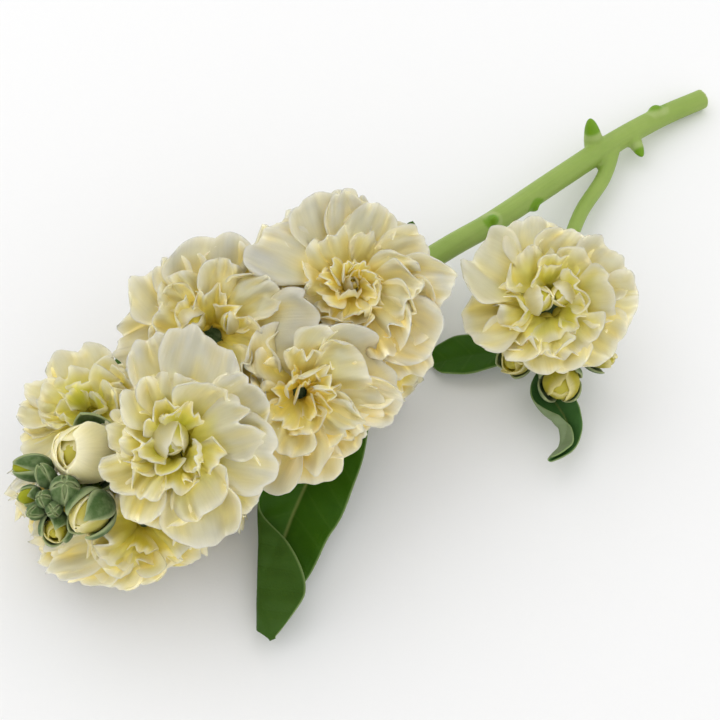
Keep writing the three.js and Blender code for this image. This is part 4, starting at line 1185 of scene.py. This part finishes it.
def floor_paper(settings):
    """Studio paper: matte and near white, with a faint tooth."""
    material, add = new_material("matte_white_paper")
    tooth = grain(add, 0.6)
    colour = add("Mix RGBA", add("Math MULTIPLY", tooth, 0.04), (*settings.floor, 1), "#D8D8D8")
    finish_surface(add, colour, tooth, 0.02, {"Roughness": 0.9, "IOR": 1.5, "Specular IOR Level": 0.2})
    return material


# Pieces

def place_piece(name, mesh, material, slot, *nodes):
    """Links a mesh as a smooth piece of the part that stands for the given nodes."""
    piece = bpy.data.objects.new(name, mesh)
    bpy.context.scene.collection.objects.link(piece)
    mesh.materials.clear()
    mesh.materials.append(material)
    mesh.polygons.foreach_set("use_smooth", np.ones(len(mesh.polygons), bool))
    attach(piece, "root")
    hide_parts(*nodes)


def joined_skin(shape, name):
    """One skin round all the overlapping parts of a shape, with softened joints."""
    raw = bpy.data.objects.new(name + "_raw", shape.mesh(name + "_raw"))
    bpy.context.scene.collection.objects.link(raw)
    remesh = raw.modifiers.new("join", "REMESH")
    remesh.mode = "VOXEL"
    remesh.voxel_size = JOINT_VOXEL * MILLIMETRE
    soften = raw.modifiers.new("soften", "SMOOTH")
    soften.factor = 0.5
    soften.iterations = 5
    evaluated = raw.evaluated_get(bpy.context.evaluated_depsgraph_get())
    mesh = bpy.data.meshes.new_from_object(evaluated)
    mesh.name = name
    bpy.data.objects.remove(raw)
    return mesh


def mark_stem(mesh):
    """Writes what each point of the stem is: how far along, a stub, the ring of a scar, or the cut end."""
    points = np.empty(len(mesh.vertices) * 3)
    mesh.vertices.foreach_get("co", points)
    points = points.reshape(-1, 3) / MILLIMETRE + BED_CENTRE
    spine = STEM.at(np.linspace(0, 1, SPINE_SAMPLES))
    nearest = np.argmin(((points[:, None, :] - spine[None]) ** 2).sum(-1), axis=1)
    span = nearest / (SPINE_SAMPLES - 1) * STEM.length
    away = points - spine[nearest]
    across = np.arctan2(away[:, 2], away[:, 0] - away[:, 1]) * STEM_RADIUS
    stub, scar = np.zeros(len(points)), np.zeros(len(points))
    for place, way, length, radius in STUBS:
        local = points - np.asarray(place, float)
        height = local @ unit(way)
        off = np.linalg.norm(local - height[:, None] * unit(way), axis=1)
        inside = smooth(radius + 0.9, radius + 0.3, off) * smooth(-length / 2 - 1, 0, height)
        stub = np.maximum(stub, inside * smooth(0.0, 1.2, height))
        scar = np.maximum(scar, inside * smooth(-1.4, -0.4, height) * smooth(1.0, 0.2, height))
    end, heading = STEM.at(0), STEM.heading(0)
    at_end = np.linalg.norm(points - end, axis=1) < STEM_RADIUS * 0.95
    cut = smooth(0.45, 0.2, (points - end) @ heading) * at_end
    for name, column in dict(span=span, across=across, stub=stub, scar=scar * 0.3, cut=cut).items():
        write_number(mesh, name, column)


# Properties, steps and panel

def colour_property(name, description, code):
    """A colour that starts from an sRGB hex code."""
    return FloatVectorProperty(
        name=name, description=description, default=linear(code)[:3], subtype="COLOR")


def length_property(name, description, metres):
    return FloatProperty(name=name, description=description, default=metres, unit="LENGTH")


class StockPetals(bpy.types.PropertyGroup):
    """Sizes and colours of the petals"""

    thickness: length_property("Thickness", "Thickness of a petal's middle", 0.0004)
    fine_waves: length_property("Fine waves", "Height of the small waves at a petal's margin", 0.0006)
    outer: colour_property("Outer", "Petal colour near the margin", "#BBBAB0")
    inner: colour_property("Inner", "Petal colour half way to the heart", "#CAC6A4")
    # Pale rim colour: partly the petal's paler margin, partly a painted highlight along its edge.
    rim: colour_property("Rim", "Colour of a petal's very edge", "#CFCCBE")


class StockGreens(bpy.types.PropertyGroup):
    """Sizes and colours of the stem and the sepals"""

    sepal_thickness: length_property("Sepal thickness", "Thickness of a sepal's middle", 0.0006)
    stem: colour_property("Stem", "Colour of the stem's skin", "#86A045")
    sepal: colour_property("Sepal", "Colour of a sepal's middle", "#2A4718")
    sepal_margin: colour_property("Sepal margin", "Colour of a sepal's edge", "#B4BE8C")


class StockLeaves(bpy.types.PropertyGroup):
    """Sizes and colours of the leaves"""

    thickness: length_property("Thickness", "Thickness of the blade", 0.0007)
    blade: colour_property("Blade", "Colour of the upper side", "#2C5204")
    underside: colour_property("Underside", "Colour of the lower side", "#355215")
    midrib: colour_property("Midrib", "Colour of the midrib", "#879050")


class StockStudio(bpy.types.PropertyGroup):
    """Floor, lights and camera"""

    floor: colour_property("Floor", "Colour of the floor", "#F2F2F2")
    key_power: FloatProperty(
        name="Key", description="Power of the large soft light", default=1.0, unit="POWER")
    fill: FloatProperty(
        name="Fill", description="Brightness of the light from all round", default=1.04)
    focal_length: FloatProperty(
        name="Focal length", description="Focal length of the camera in millimetres", default=100.0)


class STOCK_OT_studio(bpy.types.Operator):
    """Lay the floor and set the lights and the camera"""

    bl_idname = "stock.studio"
    bl_label = "Studio"

    def execute(self, context):
        settings = context.scene.stock_studio
        mesh = bpy.data.meshes.new("floor")
        corners = [(x * FLOOR_REACH, y * FLOOR_REACH, 0) for x, y in ((-1, -1), (1, -1), (1, 1), (-1, 1))]
        mesh.from_pydata(corners, [], [(0, 1, 2, 3)])
        mesh.materials.append(floor_paper(settings))
        floor = bpy.data.objects.new("floor", mesh)
        context.scene.collection.objects.link(floor)

        key = bpy.data.lights.new("key", "AREA")
        key.energy, key.size = settings.key_power, KEY_SIZE
        lamp = bpy.data.objects.new("key", key)
        lamp.location = KEY_PLACE
        lamp.rotation_euler = (-lamp.location).to_track_quat("-Z", "Y").to_euler()
        context.scene.collection.objects.link(lamp)

        world = bpy.data.worlds.new("studio")
        world.use_nodes = True
        background = world.node_tree.nodes["Background"]
        background.inputs[0].default_value = (1, 1, 1, 1)
        background.inputs[1].default_value = settings.fill
        context.scene.world = world
        context.scene.view_settings.view_transform = "Standard"

        elevation = math.radians(CAMERA_ELEVATION)
        away = np.array([0.0, -math.cos(elevation), math.sin(elevation)])
        camera = bpy.data.objects.new("camera", bpy.data.cameras.new("camera"))
        camera.data.lens = settings.focal_length
        camera.data.sensor_width = SENSOR_WIDTH
        camera.location = (CAMERA_TARGET - BED_CENTRE + away * CAMERA_DISTANCE) * MILLIMETRE
        camera.rotation_euler = (math.radians(90) - elevation, 0, 0)
        context.scene.collection.objects.link(camera)
        context.scene.camera = camera
        return {"FINISHED"}


class STOCK_OT_blooms(bpy.types.Operator):
    """Build the petals of the thirteen double blooms"""

    bl_idname = "stock.blooms"
    bl_label = "Blooms"

    def execute(self, context):
        settings = context.scene.stock_petals
        material = petal_tissue(settings)
        shapes = bloom_shapes(BLOOMS, settings.thickness / MILLIMETRE, settings.fine_waves / MILLIMETRE)
        for bloom, shape in zip(BLOOMS, shapes):
            name = bloom["name"] + "_petals"
            place_piece(name, shape.mesh(name), material, "petal", bloom["name"])
        return {"FINISHED"}


class STOCK_OT_bud_petals(bpy.types.Operator):
    """Build the wrapped petals of the six opening buds"""

    bl_idname = "stock.bud_petals"
    bl_label = "Bud petals"

    def execute(self, context):
        settings = context.scene.stock_petals
        material = bud_petal_tissue()
        for bud in BUDS:
            if "petals" in bud:
                name = bud["petals"] + "_petals"
                shape = Shape()
                add_wraps(shape, bud, settings.thickness / MILLIMETRE, yellow=bud["yellow"])
                place_piece(name, shape.mesh(name), material, "bud_petal", bud["petals"])
        return {"FINISHED"}


class STOCK_OT_stem(bpy.types.Operator):
    """Build the stem with its side shoot, stubs and stalks"""

    bl_idname = "stock.stem"
    bl_label = "Stem"

    def execute(self, context):
        mesh = joined_skin(stem_shape(), "stem_skin")
        if not mesh.polygons:
            raise RuntimeError("the stem's parts could not be joined")
        mark_stem(mesh)
        place_piece("stem_skin", mesh, stem_skin(context.scene.stock_greens), "green_tissue", "stem")
        return {"FINISHED"}


class STOCK_OT_sepals(bpy.types.Operator):
    """Build the calyces, the sepal cups and the closed buds"""

    bl_idname = "stock.sepals"
    bl_label = "Sepals"

    def execute(self, context):
        settings = context.scene.stock_greens
        shape = sepal_shape(settings.sepal_thickness / MILLIMETRE)
        place_piece("sepals", shape.mesh("sepals"), felted_sepals(settings), "green_tissue", "stem")
        return {"FINISHED"}


class STOCK_OT_leaves(bpy.types.Operator):
    """Build the leaves with their midribs, veins and waved margins"""

    bl_idname = "stock.leaves"
    bl_label = "Leaves"

    def execute(self, context):
        settings = context.scene.stock_leaves
        material = leaf_blade(settings)
        for leaf in LEAVES:
            name = leaf["name"] + "_blade"
            shape = leaf_shape(leaf, settings.thickness / MILLIMETRE)
            place_piece(name, shape.mesh(name), material, "leaf", leaf["name"])
        return {"FINISHED"}


OPERATORS = (
    STOCK_OT_studio, STOCK_OT_stem, STOCK_OT_sepals, STOCK_OT_blooms, STOCK_OT_bud_petals, STOCK_OT_leaves,
)
GROUPS = {
    "stock_petals": StockPetals, "stock_greens": StockGreens,
    "stock_leaves": StockLeaves, "stock_studio": StockStudio,
}


class STOCK_PT_panel(bpy.types.Panel):
    """Sizes, colours and steps of the stock stem"""

    bl_idname = "STOCK_PT_panel"
    bl_label = "Double Stock Stem"
    bl_space_type = "VIEW_3D"
    bl_region_type = "UI"
    bl_category = "Stock"

    def draw(self, context):
        for name, group in GROUPS.items():
            box = self.layout.box()
            for key in group.__annotations__:
                box.prop(getattr(context.scene, name), key)
        for operator in OPERATORS:
            self.layout.operator(operator.bl_idname)


def register():
    for cls in (*GROUPS.values(), *OPERATORS, STOCK_PT_panel):
        bpy.utils.register_class(cls)
    for name, group in GROUPS.items():
        setattr(bpy.types.Scene, name, PointerProperty(type=group))


def unregister():
    for name in GROUPS:
        delattr(bpy.types.Scene, name)
    for cls in reversed((*GROUPS.values(), *OPERATORS, STOCK_PT_panel)):
        bpy.utils.unregister_class(cls)


def main():
    register()
    bpy.ops.stock.studio()
    bpy.ops.stock.stem()
    bpy.ops.stock.sepals()
    bpy.ops.stock.blooms()
    bpy.ops.stock.bud_petals()
    bpy.ops.stock.leaves()


if __name__ == "__main__":
    main()
